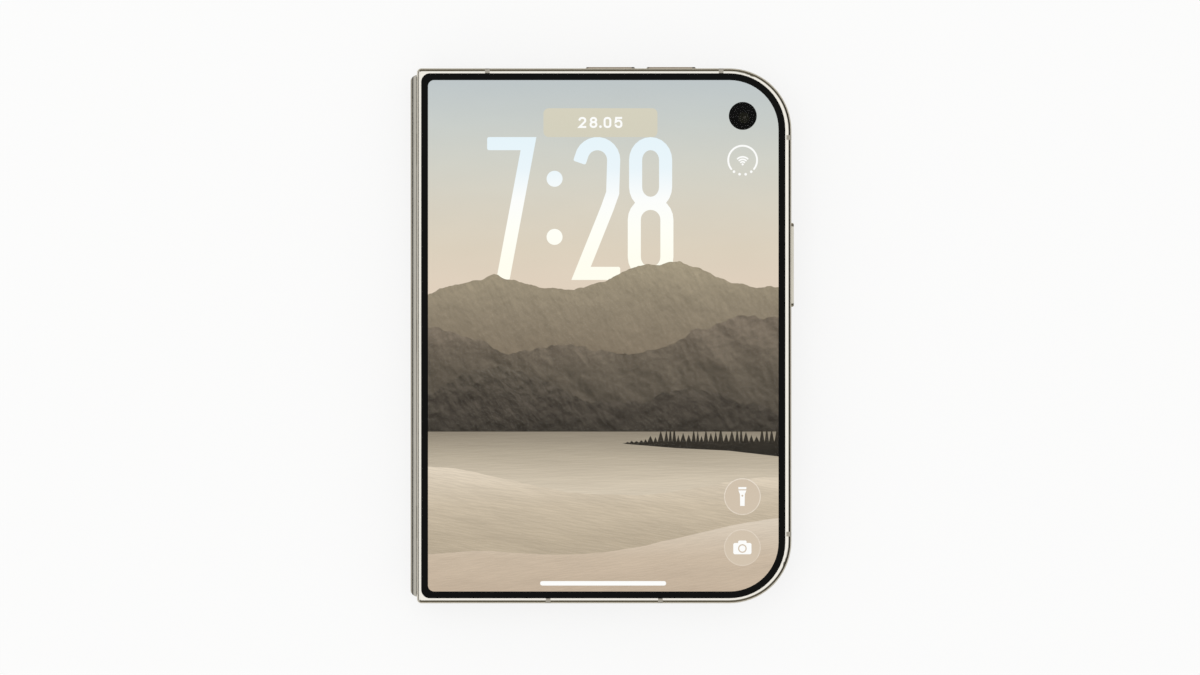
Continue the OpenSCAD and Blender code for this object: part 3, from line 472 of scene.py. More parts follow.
def makeBlackAnodised():
    # turned aluminium, black anodised: deep grey with turning marks
    made, tree, shader = newMaterial("blackAnodised", "#1C1C1E", {"Metallic": 0.6})
    turning = spotted(tree, 0.15, (1, 1, 8))
    roughen(tree, shader, 0.3, 0.42, turning)
    raiseGrain(tree, shader, turning, 0.001)
    return made


def makeFilledNylon():
    # moulded glass filled nylon: matt black with a faint mottle of fibres
    made, tree, shader = newMaterial("filledNylon", "#222224", {"Roughness": 0.55})
    fibres = spotted(tree, 0.4, (1, 3, 1), turn=20)
    mottle(tree, shader, "#1E1E20", "#28282A", fibres)
    raiseGrain(tree, shader, fibres, 0.002)
    return made


def makePouchFoil():
    # laminated cell pouch: dull silver grey foil, drawn tight with soft wrinkles
    made, tree, shader = newMaterial("pouchFoil", "#6E6E70", {"Metallic": 0.7})
    wrinkles = litRelief(tree, 6.0, (1, 2, 1), 35, 1.0)
    mottle(tree, shader, "#666668", "#767678", spotted(tree, 1.5))
    roughen(tree, shader, 0.32, 0.45, spotted(tree, 3.0))
    raiseGrain(tree, shader, wrinkles, 0.02)
    return made


def makeSolderMask():
    # green lacquer over copper: glossy, the tracks show as paler lines 0.5 mm apart
    made, tree, shader = newMaterial("solderMask", "#1C3A2C", {"Roughness": 0.3})
    place = addNode(tree, "TexCoord")
    grown = addNode(tree, "Mapping", {"Scale": (1 / mm,) * 3}, {"Vector": place.outputs["Object"]})
    tracks = addNode(
        tree,
        "TexBrick",
        {
            "Scale": 1.0,
            "Mortar Size": 0.12,
            "Brick Width": 2.6,
            "Row Height": 0.5,
            "Color1": paint("#1A3729"),
            "Color2": paint("#1F3F30"),
            "Mortar": paint("#3C5E40"),
        },
        {"Vector": grown.outputs["Vector"]},
    )
    tree.links.new(tracks.outputs["Color"], shader.inputs["Base Color"])
    raiseGrain(tree, shader, tracks.outputs["Fac"], 0.01)
    return made


def makeTinnedSheet():
    # drawn steel can, tin plated: pale grey and half bright with a rolled grain
    made, tree, shader = newMaterial("tinnedSheet", "#B8B8B4", {"Metallic": 1.0})
    grain = spotted(tree, 0.3, (1, 10, 1), turn=10)
    roughen(tree, shader, 0.28, 0.4, grain)
    raiseGrain(tree, shader, grain, 0.001)
    return made


def makeSinteredSteel():
    # injection moulded and ground hinge steel: mid grey, short grinding lines across
    made, tree, shader = newMaterial("sinteredSteel", "#9A9894", {"Metallic": 1.0})
    lines = spotted(tree, 0.15, (14, 1, 1))
    mottle(tree, shader, "#8F8D89", "#A4A29E", lines)
    roughen(tree, shader, 0.28, 0.4, lines)
    raiseGrain(tree, shader, lines, 0.001)
    return made


def makeStampedSteel():
    # stamped stainless spring sheet: bright with a rolled grain
    made, tree, shader = newMaterial("stampedStainless", "#C9C8C4", {"Metallic": 1.0})
    grain = spotted(tree, 0.2, (1, 16, 1))
    roughen(tree, shader, 0.16, 0.26, grain)
    raiseGrain(tree, shader, grain, 0.0008)
    return made


def makeBlackenedSteel():
    # blackened screw steel: near black with rubbed, greyer spots
    made, tree, shader = newMaterial("blackenedSteel", "#3A3937", {"Metallic": 1.0})
    rubbed = spotted(tree, 0.5)
    mottle(tree, shader, "#32312F", "#4A4946", rubbed)
    roughen(tree, shader, 0.3, 0.45, rubbed)
    return made


def makeNickelPlate():
    # nickel plated magnet: bright, slightly yellow, with orange peel
    made, tree, shader = newMaterial("nickelPlate", "#CFCBC0", {"Metallic": 1.0})
    peel = spotted(tree, 0.5)
    roughen(tree, shader, 0.12, 0.2, peel)
    raiseGrain(tree, shader, peel, 0.001)
    return made


def makeDisplayFilm():
    # the unlit folding display: black under a glossy film, with a soft unevenness in the gloss
    made, tree, shader = newMaterial("displayFilm", "#0E0F11", {"IOR": 1.5})
    mottle(tree, shader, "#0D0E10", "#101114", spotted(tree, 12.0))
    roughen(tree, shader, 0.06, 0.1, spotted(tree, 9.0))
    return made


def makeSensorCoat():
    # hard coated sensor face: the frame's colour, semi gloss
    made, tree, shader = newMaterial("sensorCoat", "#BDB6A6", {"Metallic": 0.8})
    roughen(tree, shader, 0.24, 0.32, spotted(tree, 0.8))
    return made


def makeFlashCover():
    # moulded acrylic over a yellow phosphor: waxy pale yellow with fine rings
    sockets = {"Roughness": 0.25, "Subsurface Weight": 0.2, "Subsurface Radius": (mm,) * 3}
    made, tree, shader = newMaterial("flashAcrylic", "#E9E2B8", sockets)
    mottle(tree, shader, "#E4DBA8", "#F0EAC8", spotted(tree, 1.5))
    return made


finishes = {
    makePolishedTitanium: ["front_frame", "rear_frame"],
    makeSatinTitanium: ["power_button"],
    makeShadeDarkenedTitanium: ["volume_up_button", "volume_down_button"],
    makeBrushedSpine: ["spine_cover"],
    makeBlastedAluminium: ["camera_plateau"],
    makeAntennaPlastic: ["front_antenna_bands", "rear_antenna_bands"],
    makePrintedBlack: ["front_bezel", "rear_bezel", "cover_display"],
    makeInkedGlass: [],  # for the cover glass's border and the cover camera's window
    makeEtchedGlass: ["back_glass"],
    makeBlackGlass: ["camera_window"],
    makeCoatedLens: ["cover_camera_lens"],
    makeSapphireWindow: ["camera_lenses"],
    makeBlackAnodised: ["main_camera", "wide_camera", "tele_camera", "cover_camera"],
    makeFilledNylon: ["earpiece", "loudspeaker"],
    makePouchFoil: ["front_battery", "rear_battery"],
    makeSolderMask: ["front_board", "main_board"],
    makeTinnedSheet: ["shield_cans", "haptic_motor"],
    makeSinteredSteel: [
        "front_hinge_arms",
        "rear_hinge_arms",
        "front_gears",
        "rear_gears",
        "hinge_chassis",
        "gear_end_plates",
    ],
    makeStampedSteel: [
        "button_switches",
        "button_spring_plates",
        "front_wing_plate",
        "rear_wing_plate",
        "usb_port",
        "gear_pins",
    ],
    makeBlackenedSteel: ["front_screws", "rear_screws", "spine_screws"],
    makeNickelPlate: ["front_magnets", "rear_magnets"],
    makeDisplayFilm: ["display_front", "display_rear"],
    makeSensorCoat: ["fingerprint_sensor"],
    makeFlashCover: ["flash_lamp"],
}
materials = {}
for makeFinish, nodeNames in finishes.items():
    finish = makeFinish()
    materials[finish.name] = finish
    for nodeName in nodeNames:
        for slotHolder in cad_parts[nodeName].material_slots:
            slotHolder.material = finish
print("finishes made:", len(materials))


# cover screen: printed border, picture and glass
# Places on the picture are in mm from the middle of the front half. Its layers are thin
# closed slabs that lie on the display panel one above the other.
cover = {
    "pictureLow": (-39.75, -57.65),
    "pictureHigh": (39.3, 57.65),
    "pictureRadii": (1.4, 11.1, 11.1, 1.4),
    "glassRadii": (2.0, 12.65, 12.65, 2.0),
    "layerBase": 0.01,  # mm above the panel
    "layerStep": 0.02,
    "layerThick": 0.01,
    "paneThick": 0.26,
    "paneEdge": 0.12,
    "paneFit": 0.03,  # room between the glass and the frame
    "paneAlpha": 0.06,
    "paneGap": (0.02, 0.03),  # how far the border and the pane end inside the picture's edge
    "pictureStrength": 1.132,  # makes up for what the pane's two faces take
}


def spot(x, y):
    # a place on the picture as x, y in metres
    return middle.x + x * mm, middle.y + y * mm


def pictureOutline(grow=0.0):
    return roundedOutline(cover["pictureLow"], cover["pictureHigh"], cover["pictureRadii"], grow)


def layerSpan(number):
    low = panelHigh.z + (cover["layerBase"] + cover["layerStep"] * number) * mm
    return low, low + cover["layerThick"] * mm


def makeLit(name, colours, span=None, *grains):
    # lit pixels: one colour all over, or a ramp of colours up the picture, from span's low end
    # to its high end in mm; each grain is (size, stretch, turn, share) of lighter and darker
    # patches, and one that has a step too is worn ground lit from above
    sockets = {"Roughness": 0.5, "Specular IOR Level": 0.0}
    made, tree, shader = newMaterial(name, "#000000", sockets)
    shader.inputs["Emission Strength"].default_value = cover["pictureStrength"]
    if not span:
        shader.inputs["Emission Color"].default_value = paint(colours[0])
        return made
    place = addNode(tree, "TexCoord")
    parts = addNode(tree, "SeparateXYZ", None, {"Vector": place.outputs["Object"]})
    low, high = [middle.y + v * mm for v in span]
    settings = {"From Min": low, "From Max": high}
    rise = addNode(tree, "MapRange", settings, {"Value": parts.outputs["Y"]})
    stops = [(i / (len(colours) - 1), c) for i, c in enumerate(colours)]
    ramp = addNode(tree, "ValToRGB", {"stops": stops}, {"Fac": rise.outputs["Result"]})
    colour = ramp.outputs["Color"]
    for size, stretch, turn, share, *step in grains:
        if step:
            pattern, start, stop = litRelief(tree, size, stretch, turn, *step), -0.1, 0.1
        else:
            pattern, start, stop = spotted(tree, size, stretch, turn, 8.0), 0.3, 0.7
        reach = {"From Min": start, "From Max": stop, "To Min": 1 - share, "To Max": 1 + share}
        factor = addNode(tree, "MapRange", reach, {"Value": pattern}).outputs["Result"]
        links = {"Vector": colour, "Scale": factor}
        colour = addNode(tree, "VectorMath", {"operation": "SCALE"}, links).outputs["Vector"]
    tree.links.new(colour, shader.inputs["Emission Color"])
    return made


def makeSlab(name, outlines, number, material):
    # outlines in mm on the picture, all on one layer
    bm = bmesh.new()
    low, high = layerSpan(number)
    for outline in outlines:
        points = [spot(x, y) for x, y in outline]
        loft(bm, [level(points, low), level(points, high)])
    return makePiece(name, "front_half", bm, material)


def makeHoop(bm, outer, inner, number):
    # a flat ring between two outlines of as many points, on one layer
    low, high = layerSpan(number)
    outer, inner = [spot(*p) for p in outer], [spot(*p) for p in inner]
    rings = [level(outer, low), level(outer, high), level(inner, high), level(inner, low)]
    loft(bm, rings, capped=False)


def ridge(x, base, humps, rough, seed):
    # a hill line's height: wide humps, with finer and finer bumps on them
    height = base + sum(tall * math.exp(-(((x - at) / wide) ** 2)) for at, wide, tall in humps)
    return height + rough * noise.fractal(Vector((x * 0.13, seed, 0.0)), 0.75, 2.1, 6)


def landOutline(base, humps=(), rough=0.0, seed=0.0):
    # all the land below a hill line, down to the picture's lower edge
    border = pictureOutline()
    lower = border[: len(border) // 2]  # its two lower corners
    left, right = cover["pictureLow"][0], cover["pictureHigh"][0]
    count = 180
    line = [right + (left - right) * i / count for i in range(count + 1)]
    return lower + [(x, ridge(x, base, humps, rough, seed)) for x in line]


def treeLine(start, stop, base, tall, step):
    # pointed tree tops from left to right, over a bank that thins out towards its left end
    tops = []
    x = start
    while x < stop:
        fade = min(1.0, (x - start) / 9)
        height = base + tall * fade * chance.uniform(0.35, 1.0)
        wide = step * chance.uniform(0.6, 1.2)
        tops += [(x, base + 0.3 * fade), (x + wide / 2, height)]
        x += wide
    return tops + [(stop, base + tall * 0.6)]


# Each piece of the view has its layer, its colours from the low to the high end of span, and
# its grains as makeLit takes them. A land's line is its base, its humps as (place, half width,
# height), the height of its bumps, and a seed. The first grain of the hills is their slopes,
# the second their gullies.
scenery = {
    "sky": {
        "layer": 0,
        "colours": ["#E0D0BD", "#DBD0BD", "#D7D1C2", "#D1D1C7", "#C8CDC9", "#BEC6C8"],
        "span": (10, 58),
        "grains": [(9.0, (2.5, 1, 1), 0, 0.015)],
    },
    "farHills": {
        "layer": 2,
        "line": (8.6, [(14, 15, 8.2), (-25, 13, 4.6), (39, 8, 2.0)], 1.0, 3.7),
        "colours": ["#7E7261", "#8D826F", "#A1967F"],
        "span": (-6, 17),
        "grains": [(9.0, (1, 1.8, 1), -36, 0.16, 0.8), (2.2, (1, 1.8, 1), 28, 0.11, 0.25)],
    },
    "middleHills": {
        "layer": 3,
        "line": (-5.5, [(33, 17, 10.5), (-39, 13, 7.5), (-8, 10, 3.6)], 1.5, 9.1),
        "colours": ["#504A41", "#635B4F", "#7B7062"],
        "span": (-20, 5),
        "grains": [(9.0, (1, 1.8, 1), 42, 0.34, 0.8), (2.2, (1, 1.6, 1), -24, 0.24, 0.25)],
    },
    "nearHills": {
        "layer": 4,
        "line": (-17.5, [(-24, 17, 11.0), (20, 13, 5.4)], 1.6, 5.2),
        "colours": ["#3A3630", "#4C463E", "#5E574C"],
        "span": (-24, -6),
        "grains": [(8.0, (1, 1.8, 1), -48, 0.42, 0.8), (1.8, (1, 1.6, 1), 36, 0.32, 0.25)],
    },
    "lake": {
        "layer": 5,
        "line": (-21.6,),
        "colours": ["#D8CCB8", "#CDC1AD", "#B3A895", "#8D8474"],
        "span": (-38, -21.5),
        "grains": [(2.4, (10, 0.7, 1), 1, 0.05), (0.6, (8, 0.6, 1), 2, 0.05, 0.12)],
    },
    "spit": {
        "layer": 6,
        "trees": (4.0, -24.2, 4.2, 1.25),  # start, base, height, step
        "shore": [(5, -24.4), (16, -25.3), (28, -25.9)],
        "shoreEnd": -27.2,  # its height at the picture's right edge
        "colours": ["#2E2B26", "#3E3931"],
        "span": (-27, -20),
        "grains": [(0.6, (1, 1, 1), 0, 0.25)],
    },
    "meadow": {
        "layer": 6,
        "line": (-36.8, [(-40, 26, 7.2), (39, 22, 5.0)], 0.25, 1.3),
        "colours": ["#B9AB95", "#C7B9A3", "#DBCEBA"],
        "span": (-46, -31),
        "grains": [(9.0, (2.2, 0.8, 1), -8, 0.05, 1.2), (0.6, (7, 0.7, 1), -9, 0.06, 0.15)],
    },
    "bank": {
        "layer": 7,
        "line": (-50.5, [(44, 34, 9.5), (-30, 16, 1.8)], 0.2, 6.6),
        "colours": ["#C2B09B", "#C8B7A2", "#DACDBB"],
        "span": (-58, -42),
        "grains": [(9.0, (2.4, 0.9, 1), 12, 0.04, 1.2), (0.5, (5, 0.7, 1), 9, 0.045, 0.12)],
    },
}


def makePicture():
    # rolling hills behind a lake in pale evening light
    right = cover["pictureHigh"][0]
    for key, part in scenery.items():
        if "line" in part:
            outline = landOutline(*part["line"])
        elif "trees" in part:
            start, *tops = part["trees"]
            shore = part["shore"] + [(right, part["shoreEnd"])]
            outline = treeLine(start, right, *tops)[::-1] + shore
        else:
            outline = pictureOutline()
        name = key[0].upper() + key[1:]
        lit = makeLit("lit" + name, part["colours"], part["span"], *part["grains"])
        makeSlab("picture" + name, [outline], part["layer"], lit)
    print("picture made")


# Each figure is drawn in a box one wide and one high, as strokes of round-ended pen lines.
def arcOf(x, y, wide, high, start, stop, steps=12):
    turns = [math.radians(start + (stop - start) * i / steps) for i in range(steps + 1)]
    return [(x + wide * math.cos(a), y + high * math.sin(a)) for a in turns]


def figureStrokes(figure, bend):
    # bend is how high a round end is, as a share of the figure's height
    loop = arcOf(0.5, 1 - bend, 0.5, bend, 0, 180) + arcOf(0.5, bend, 0.5, bend, 180, 360)
    if figure == "0":
        return [loop + loop[:1]]
    if figure == "2":
        top = arcOf(0.5, 1 - bend, 0.5, bend, 168, 0)
        return [top + [(0.97, 0.62), (0.8, 0.5), (0, 0), (1, 0)]]
    if figure == "5":
        shoulder = arcOf(0.5, bend + 0.12, 0.5, bend + 0.1, 130, -20)[1:]
        foot = arcOf(0.5, bend, 0.5, bend, -10, -165)
        return [[(0.95, 1), (0.08, 1), (0, 0.56)] + shoulder + foot]
    if figure == "7":
        return [[(0, 1), (1, 1), (0.3, 0)]]
    upper = arcOf(0.5, 1 - bend, 0.46, bend, 0, 180) + arcOf(0.5, 0.54 + bend, 0.46, bend, 180, 360)
    lower = arcOf(0.5, 0.54 - bend, 0.5, bend, 0, 180) + arcOf(0.5, bend, 0.5, bend, 180, 360)
    return [upper + upper[:1], lower + lower[:1]]


def strokeOutline(line, wide, flat=False):
    # the outline of a pen line this wide, with round ends or flat ones with softened corners
    points = [Vector(p) for p in line]
    steps = [(b - a).normalized() for a, b in zip(points, points[1:])]
    left, right = [], []
    for i, point in enumerate(points):
        before, after = steps[max(i - 1, 0)], steps[min(i, len(steps) - 1)]
        normal = Vector((-(before + after).y, (before + after).x)).normalized()
        reach = wide / 2 / max(normal.dot(Vector((-after.y, after.x))), 0.4)
        left.append(point + normal * reach)
        right.append(point - normal * reach)
    ends = []
    for centre, direction in ((points[-1], steps[-1]), (points[0], -steps[0])):
        turn = math.degrees(math.atan2(direction.y, direction.x))
        if flat:
            soft = wide * 0.14
            across = Vector((-direction.y, direction.x)) * (wide / 2 - soft)
            reach = centre + direction * (wide / 2 - soft)
            end = []
            for sign in (-1, 1):
                corner = reach + across * sign
                first = turn + 45 * sign - 45
                end += arcOf(corner.x, corner.y, soft, soft, first, first + 90, 4)
            ends.append(end)
        else:
            ends.append(arcOf(centre.x, centre.y, wide / 2, wide / 2, turn - 80, turn + 80, 8))
    return [tuple(p) for p in right] + ends[0] + [tuple(p) for p in left[::-1]] + ends[1]


def addFigure(bm, figure, corner, size, wide, number):
    # corner is the lower left one of the box that holds the pen's whole width
    across, up = size[0] - wide, size[1] - wide
    left, foot = [v + wide / 2 for v in corner]
    bend = min(0.24, across / up / 2)
    low, high = layerSpan(number)
    for stroke in figureStrokes(figure, bend):
        line = [(left + x * across, foot + y * up) for x, y in stroke]
        if (Vector(line[0]) - Vector(line[-1])).length < 1e-6:
            points = [Vector(p) for p in line[:-1]]
            centre = sum(points, Vector((0, 0))) / len(points)
            sides = []
            for sign in (1, -1):
                ring = []
                for i, point in enumerate(points):
                    along = (points[(i + 1) % len(points)] - points[i - 1]).normalized()
                    out = Vector((along.y, -along.x))
                    out = out if out.dot(point - centre) > 0 else -out
                    ring.append(tuple(point + out * sign * wide / 2))
                sides.append(ring)
            makeHoop(bm, sides[0], sides[1], number)
        else:
            points = [spot(*p) for p in strokeOutline(line, wide, flat=True)]
            loft(bm, [level(points, low), level(points, high)])


clock = {
    # each figure's left side and width
    "figures": [("7", -26.4, 10.8), ("2", -6.7, 10.3), ("8", 5.3, 10.3)],
    "low": 12.6,
    "tall": 32.2,
    "pen": 2.95,
    "dots": (-11.2, (35.4, 22.3), 1.8),  # x, heights, radius
    "colours": ["#FFFEF0", "#FFFFF6", "#FCFDFB", "#EAF5FA", "#E6F4FA"],
}
datePlate = {
    "low": (-13.7, 44.8),
    "high": (12.0, 51.3),
    "radius": 1.2,
    "colour": ["#D3CFBC", "#D5D1BE"],
    "figures": [("2", -5.8), ("8", -3.3), ("0", -0.15), ("5", 2.35)],  # figure, left side
    "dot": (-0.85, 0.3),  # x, radius
    "figureLow": 46.85,
    "figureSize": (1.75, 2.5),
    "pen": 0.46,
}


def makeClock():
    # a plain time, and a date in plain figures on a plate
    bm = bmesh.new()
    for figure, left, wide in clock["figures"]:
        addFigure(bm, figure, (left, clock["low"]), (wide, clock["tall"]), clock["pen"], 1)
    low, high = layerSpan(1)
    x, heights, radius = clock["dots"]
    for y in heights:
        points = circleOutline(*spot(x, y), radius * mm)
        loft(bm, [level(points, low), level(points, high)])
    lit = makeLit("litClock", clock["colours"], (16, 45))
    makePiece("clockFigures", "front_half", bm, lit)

    plate = roundedOutline(datePlate["low"], datePlate["high"], (datePlate["radius"],) * 4, steps=6)
    makeSlab("datePlate", [plate], 2, makeLit("litDatePlate", datePlate["colour"], (44, 52)))
    bm = bmesh.new()
    foot, size, pen = [datePlate[key] for key in ("figureLow", "figureSize", "pen")]
    for figure, left in datePlate["figures"]:
        addFigure(bm, figure, (left, foot), size, pen, 3)
    low, high = layerSpan(3)
    x, radius = datePlate["dot"]
    points = circleOutline(*spot(x, foot + radius), radius * mm, 16)
    loft(bm, [level(points, low), level(points, high)])
    white = makeLit("litWhite", ["#FDFDFB"])
    makePiece("dateFigures", "front_half", bm, white)


signs = {
    "ring": (31.2, 39.6, 3.25, 0.42),  # x, y, radius, pen
    "ringGap": (-142, -38),  # degrees that the ring leaves open
    "fan": (1.7, 1.15, 0.6),  # radii of the arcs in the ring
    "torch": (31.14, -36.25, 4.12),  # x, y, radius of the round key
    "lens": (31.14, -47.75, 4.12),
    "bar": ((-14.45, -56.3), (13.95, -55.3)),
    "keyColours": ["#D3C4B0", "#D0C1AD"],
    "keyRim": ["#DDD0BF", "#EBE1D3"],
}


def makeSigns():
    # an open ring with arcs, a round key with a torch, one with a camera, and the bar below
    white = bpy.data.materials["litWhite"]
    x, y, radius, pen = signs["ring"]
    start, stop = signs["ringGap"]
    outlines = [strokeOutline(arcOf(x, y, radius, radius, stop, start + 360, 40), pen)]
    for i in range(4):
        a = math.radians(start + (stop - start) * (i + 0.62) / 4.25)
        outlines.append(circleOutline(x + radius * math.cos(a), y + radius * math.sin(a), 0.3, 16))
    for reach in signs["fan"]:
        outlines.append(strokeOutline(arcOf(x, y - 0.95, reach, reach, 48, 132), 0.36))
    outlines.append(circleOutline(x, y - 0.95, 0.24, 16))
    makeSlab("ringSign", outlines, 1, white)

    keyFace = makeLit("litKey", signs["keyColours"], (-52, -32))
    keyRim = makeLit("litKeyRim", signs["keyRim"], (-52, -32))
    for name in ("torch", "lens"):
        x, y, radius = signs[name]
        makeSlab(name + "Key", [circleOutline(x, y, radius - 0.1, 64)], 8, keyFace)
        bm = bmesh.new()
        makeHoop(bm, circleOutline(x, y, radius, 64), circleOutline(x, y, radius - 0.2, 64), 8)
        makePiece(name + "KeyRim", "front_half", bm, keyRim)

    x, y, radius = signs["torch"]
    head = [(x - 0.9, y + 2.15), (x - 0.9, y + 1.65), (x + 0.9, y + 1.65), (x + 0.9, y + 2.15)]
    body = [(x - 0.9, y + 1.4), (x - 0.55, y + 0.55), (x - 0.5, y - 2.1), (x + 0.5, y - 2.1)]
    body += [(x + 0.55, y + 0.55), (x + 0.9, y + 1.4)]
    makeSlab("torchSign", [head, body], 9, white)
    makeSlab("torchSwitch", [circleOutline(x, y + 0.2, 0.22, 16)], 10, keyFace)
    x, y, radius = signs["lens"]
    case = roundedOutline((x - 2.05, y - 1.5), (x + 2.05, y + 1.05), (0.4,) * 4, steps=5)
    hump = roundedOutline((x - 0.95, y + 0.6), (x + 0.95, y + 1.6), (0.3,) * 4, steps=5)
    makeSlab("lensSign", [case], 9, white)
    makeSlab("lensSignHump", [hump], 9, white)
    bm = bmesh.new()
    makeHoop(bm, circleOutline(x, y - 0.2, 0.98, 32), circleOutline(x, y - 0.2, 0.7, 32), 10)
    makePiece("lensSignRing", "front_half", bm, keyFace)
    low, high = signs["bar"]
    makeSlab("lowerBar", [roundedOutline(low, high, (0.49,) * 4, steps=6)], 8, white)
    print("signs made")


eye = {
    "x": 31.23,
    "y": 49.57,
    "radius": 3.15,
    "hood": (2.1, 1.5),  # outer and inner radius
    "hoodRise": 0.02,
    "hoodBevel": 0.1,
    # the real lens, set off the middle and coloured olive as a painted reflection on it
    "eyeLensAndReflection": ((0.25, -0.4), 1.25, ("lensWithPaintedReflection", "#1E1E17")),  # off the middle, radius
    # a painted glint: a lighter grey dot on the lens where a highlight falls
    "eyeGlint": ((0.4, -0.35), 0.34, ("paintedGlintGlass", "#3A3832")),
    "domeRise": 0.02,
    "domeShares": (0.0, 0.3, 0.55, 0.75, 0.9, 0.99),  # of the dome's height, ring by ring
}


def makeTintedGlass(name, colour):
    # ground lens glass in the dark colour it is given, which on the cover camera paints the lens's
    # reflection and glint; hardly any gloss
    made, tree, shader = newMaterial(name, colour, {"IOR": 1.5, "Specular IOR Level": 0.04})
    roughen(tree, shader, 0.03, 0.06, spotted(tree, 1.5))
    return made


def makeEye():
    # the round black window of the camera in the picture, with the hood and the lens under it, and a
    # painted reflection and a painted glint on the lens
    black = materials["inkedGlass"]
    makeSlab("eyeWindow", [circleOutline(eye["x"], eye["y"], eye["radius"], 64)], 8, black)
    x, y = spot(eye["x"], eye["y"])
    low = layerSpan(9)[0]
    outer, inner = eye["hood"]
    bevel = eye["hoodBevel"]
    bm = bmesh.new()
    hood = [(outer, low), (outer - bevel, low + eye["hoodRise"] * mm), (inner + bevel, low)]
    loft(bm, [level(circleOutline(x, y, r * mm), z) for r, z in hood], capped=False)
    makePiece("eyeHood", "front_half", bm, black)
    for number, part in enumerate(("eyeLensAndReflection", "eyeGlint")):
        (right, up), reach, glass = eye[part]
        bm = bmesh.new()
        dome = []
        for share in eye["domeShares"]:
            radius = reach * mm * math.sqrt(1 - share**2)
            height = low + eye["domeRise"] * (share + number) * mm
            dome.append(level(circleOutline(x + right * mm, y + up * mm, radius), height))
        loft(bm, dome)
        lens = makeTintedGlass(*glass)
        makePiece(part, "front_half", bm, lens, smooth=True)


def makePane():
    # the cover glass: its printed border, and the clear pane over the picture within it
    low, high = glassLow.to_2d(), glassHigh.to_2d()
    radii = [r * mm for r in cover["glassRadii"]]
    fit, edge = -cover["paneFit"] * mm, cover["paneEdge"] * mm
    levels = [(glassLow.z, fit)]
    for i in range(5):
        a = math.pi / 2 * i / 4
        levels.append((glassHigh.z - edge + edge * math.sin(a), fit - edge + edge * math.cos(a)))
    rings = [level(roundedOutline(low, high, radii, grow), z) for z, grow in levels]
    lip, clear = [[spot(*p) for p in pictureOutline(-gap)] for gap in cover["paneGap"]]
    rings += [level(lip, glassHigh.z), level(lip, glassLow.z)]
    bm = bmesh.new()
    loft(bm, rings, capped=False)
    makePiece("coverBorder", "front_half", bm, materials["inkedGlass"], smooth=True)

    # strengthened glass, clear coated: only a weak gloss shows over the picture
    sockets = {"Roughness": 0.03, "IOR": 1.5, "Specular IOR Level": 0.3, "Alpha": cover["paneAlpha"]}
    glass = newMaterial("clearCoverGlass", "#000000", sockets)[0]
    bm = bmesh.new()
    loft(bm, [level(clear, glassHigh.z - cover["paneThick"] * mm), level(clear, glassHigh.z)])
    pane = makePiece("coverPane", "front_half", bm, glass)
    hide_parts("cover_glass")


makePicture()
makeClock()
makeSigns()
makeEye()
makePane()
print("cover screen made")


# folding display: two films, one for each half, that meet in the crease
fold = {
    "axisX": -40.625,  # mm, the hinge axes
    "midZ": 7.45,  # mm, the plane the phone folds about
    "face": 0.25,  # mm, the display's face from that plane
    "thick": 0.02,  # mm, kept thin, so that front and back turn alike
    "crease": [  # mm, from the hinge axis and from the plane the phone folds about
        (0.95, 0.0),
        (0.62, 0.06),
        (0.31, 0.125),
        (0.15, 0.175),
        (0.12, 0.21),
        (0.3, 0.235),
        (0.5, 0.25),
    ],
    "legStart": 2.5,  # mm, from here to its end the film lies flat
    "legEnd": 8.0,
    "steps": 4,
}


def smoothLine(points, steps):
    # a smooth curve through the points, with this many parts between two of them
    padded = [points[0]] + list(points) + [points[-1]]
    line = []
    for four in zip(padded, padded[1:], padded[2:], padded[3:]):
        for i in range(steps):
            t = i / steps
            place = []
            for p, q, r, s in zip(*four):
                bent = (2 * p - 5 * q + 4 * r - s) * t**2 + (3 * q - p - 3 * r + s) * t**3
                place.append(0.5 * (2 * q + (r - p) * t + bent))
            line.append(tuple(place))
    return line + [tuple(points[-1])]


def makeFold():
    low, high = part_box("display_front")
    line = smoothLine(fold["crease"], fold["steps"])
    line += [(fold[end], fold["face"]) for end in ("legStart", "legEnd")]
    for half, side in (("front_half", 1), ("rear_half", -1)):
        face, back = [], []
        for x, z in line:
            part = min(max(z / fold["face"], 0.0), 1.0)
            # how far this place turns as the phone opens
            turn = math.pi / 2 * part * part * (3 - 2 * part)
            face.append((x, z))
            back.append((x - fold["thick"] * math.cos(turn), z + fold["thick"] * math.sin(turn)))
        section = face + back[::-1]
        ends = [((fold["axisX"] + x) * mm, (fold["midZ"] + side * z) * mm) for x, z in section]
        bm = bmesh.new()
        loft(bm, [[(x, y, z) for x, z in ends] for y in (low.y, high.y)])
        film = makePiece("foldFilm_" + half, None, bm, materials["displayFilm"], smooth=True)
        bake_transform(film)
        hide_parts("display_fold")
    print("fold made")


makeFold()


# rear cameras: ringed hoods and domed lenses behind the windows
rearEyes = {
    "seatZ": 0.9,  # mm, face of the barrels
    "cones": {  # radius and depth of the barrels' mouths
        "main_camera": (4.2, 1.2),
        "wide_camera": (3.4, 1.0),
        "tele_camera": (3.8, 1.4),
    },
    "rings": 5,
    "gap": 0.03,  # room between a hood and its barrel
    "sunk": 0.02,  # how far a hood and its dome stand back from what they touch
    "wall": 0.1,
    "domeRise": 0.32,  # share of the dome's radius
}


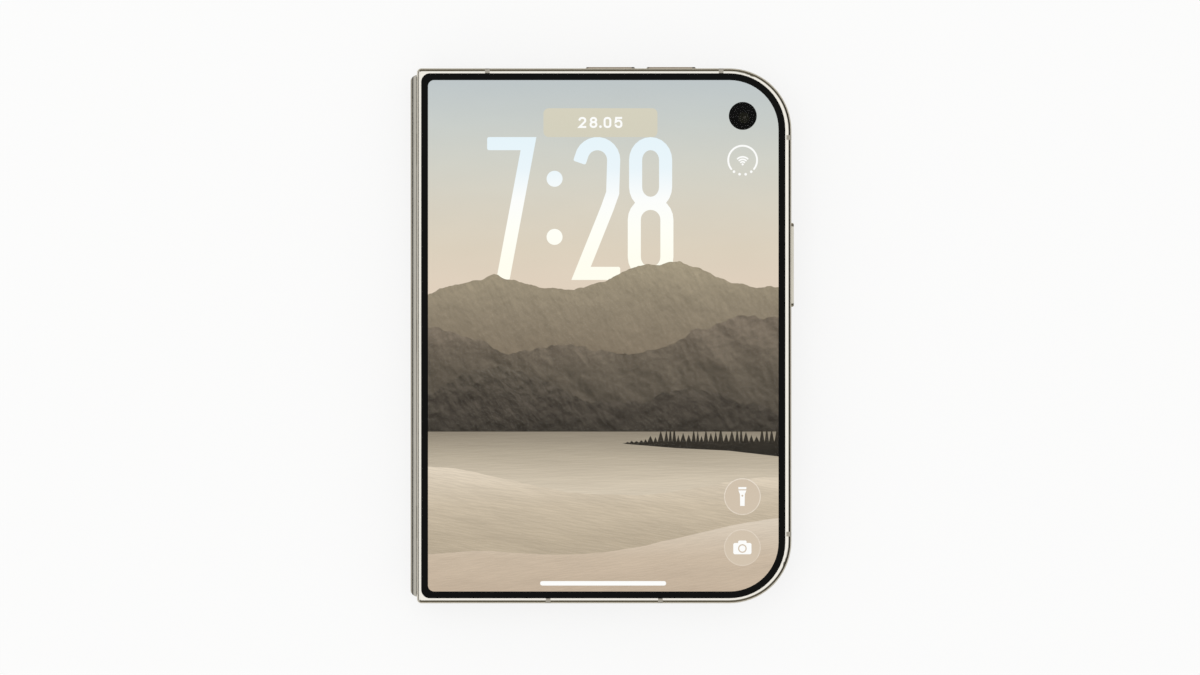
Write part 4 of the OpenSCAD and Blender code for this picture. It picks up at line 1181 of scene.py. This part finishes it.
def lathed(bm, profile, x, y, closed=True, count=64):
    # turns (radius, z) points, in mm, round an upright axis at x, y
    rings = [level(circleOutline(x, y, r * mm, count), z * mm) for r, z in profile]
    loft(bm, rings, capped=closed)


def makeRearEyes():
    sunk, wall = rearEyes["sunk"], rearEyes["wall"]
    for node, (mouth, deep) in rearEyes["cones"].items():
        low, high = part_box(node)
        x, y = (low.x + high.x) / 2, (low.y + high.y) / 2
        step = deep / 1.5 / rearEyes["rings"]
        narrow = mouth / 2 / deep * step  # how much the barrel narrows in one step
        widest = mouth - narrow - rearEyes["gap"] - wall
        profile = [(widest + wall, rearEyes["seatZ"] + sunk)]
        for i in range(rearEyes["rings"]):
            z = rearEyes["seatZ"] + sunk + step * i
            profile += [(widest - narrow * (i + 1), z), (widest - narrow * (i + 1), z + step)]
        profile.append((profile[-1][0] + wall, profile[-1][1]))
        bm = bmesh.new()
        lathed(bm, profile, x, y, closed=False)
        makePiece("hood_" + node, "rear_half", bm, materials["blackAnodised"])
        rim, base = profile[-2][0] - sunk, profile[-2][1]
        dome = [(0.01, base + wall), (rim, base + wall)]
        for i in range(6):
            a = 0.3 * i
            dome.append((rim * math.cos(a), base - rim * rearEyes["domeRise"] * math.sin(a)))
        bm = bmesh.new()
        lathed(bm, dome, x, y)
        makePiece("dome_" + node, "rear_half", bm, materials["coatedLens"], smooth=True)
    print("rear cameras made")


flashRings = {"count": 4, "radius": 1.4, "height": 0.12, "seat": 0.02}


def makeFlashRings():
    # the moulded rings that spread the light
    low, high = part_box("flash_lamp")
    x, y = (low.x + high.x) / 2, (low.y + high.y) / 2
    face = low.z / mm
    pitch = flashRings["radius"] / flashRings["count"]
    profile = [(0.01, face)]
    for i in range(flashRings["count"]):
        profile += [(pitch * (i + 0.15), face - flashRings["height"]), (pitch * (i + 1), face)]
    seat = face + flashRings["seat"]
    profile += [(flashRings["radius"], seat), (0.01, seat)]
    bm = bmesh.new()
    lathed(bm, profile, x, y)
    makePiece("flashRings", "rear_half", bm, materials["flashAcrylic"])


makeRearEyes()
makeFlashRings()
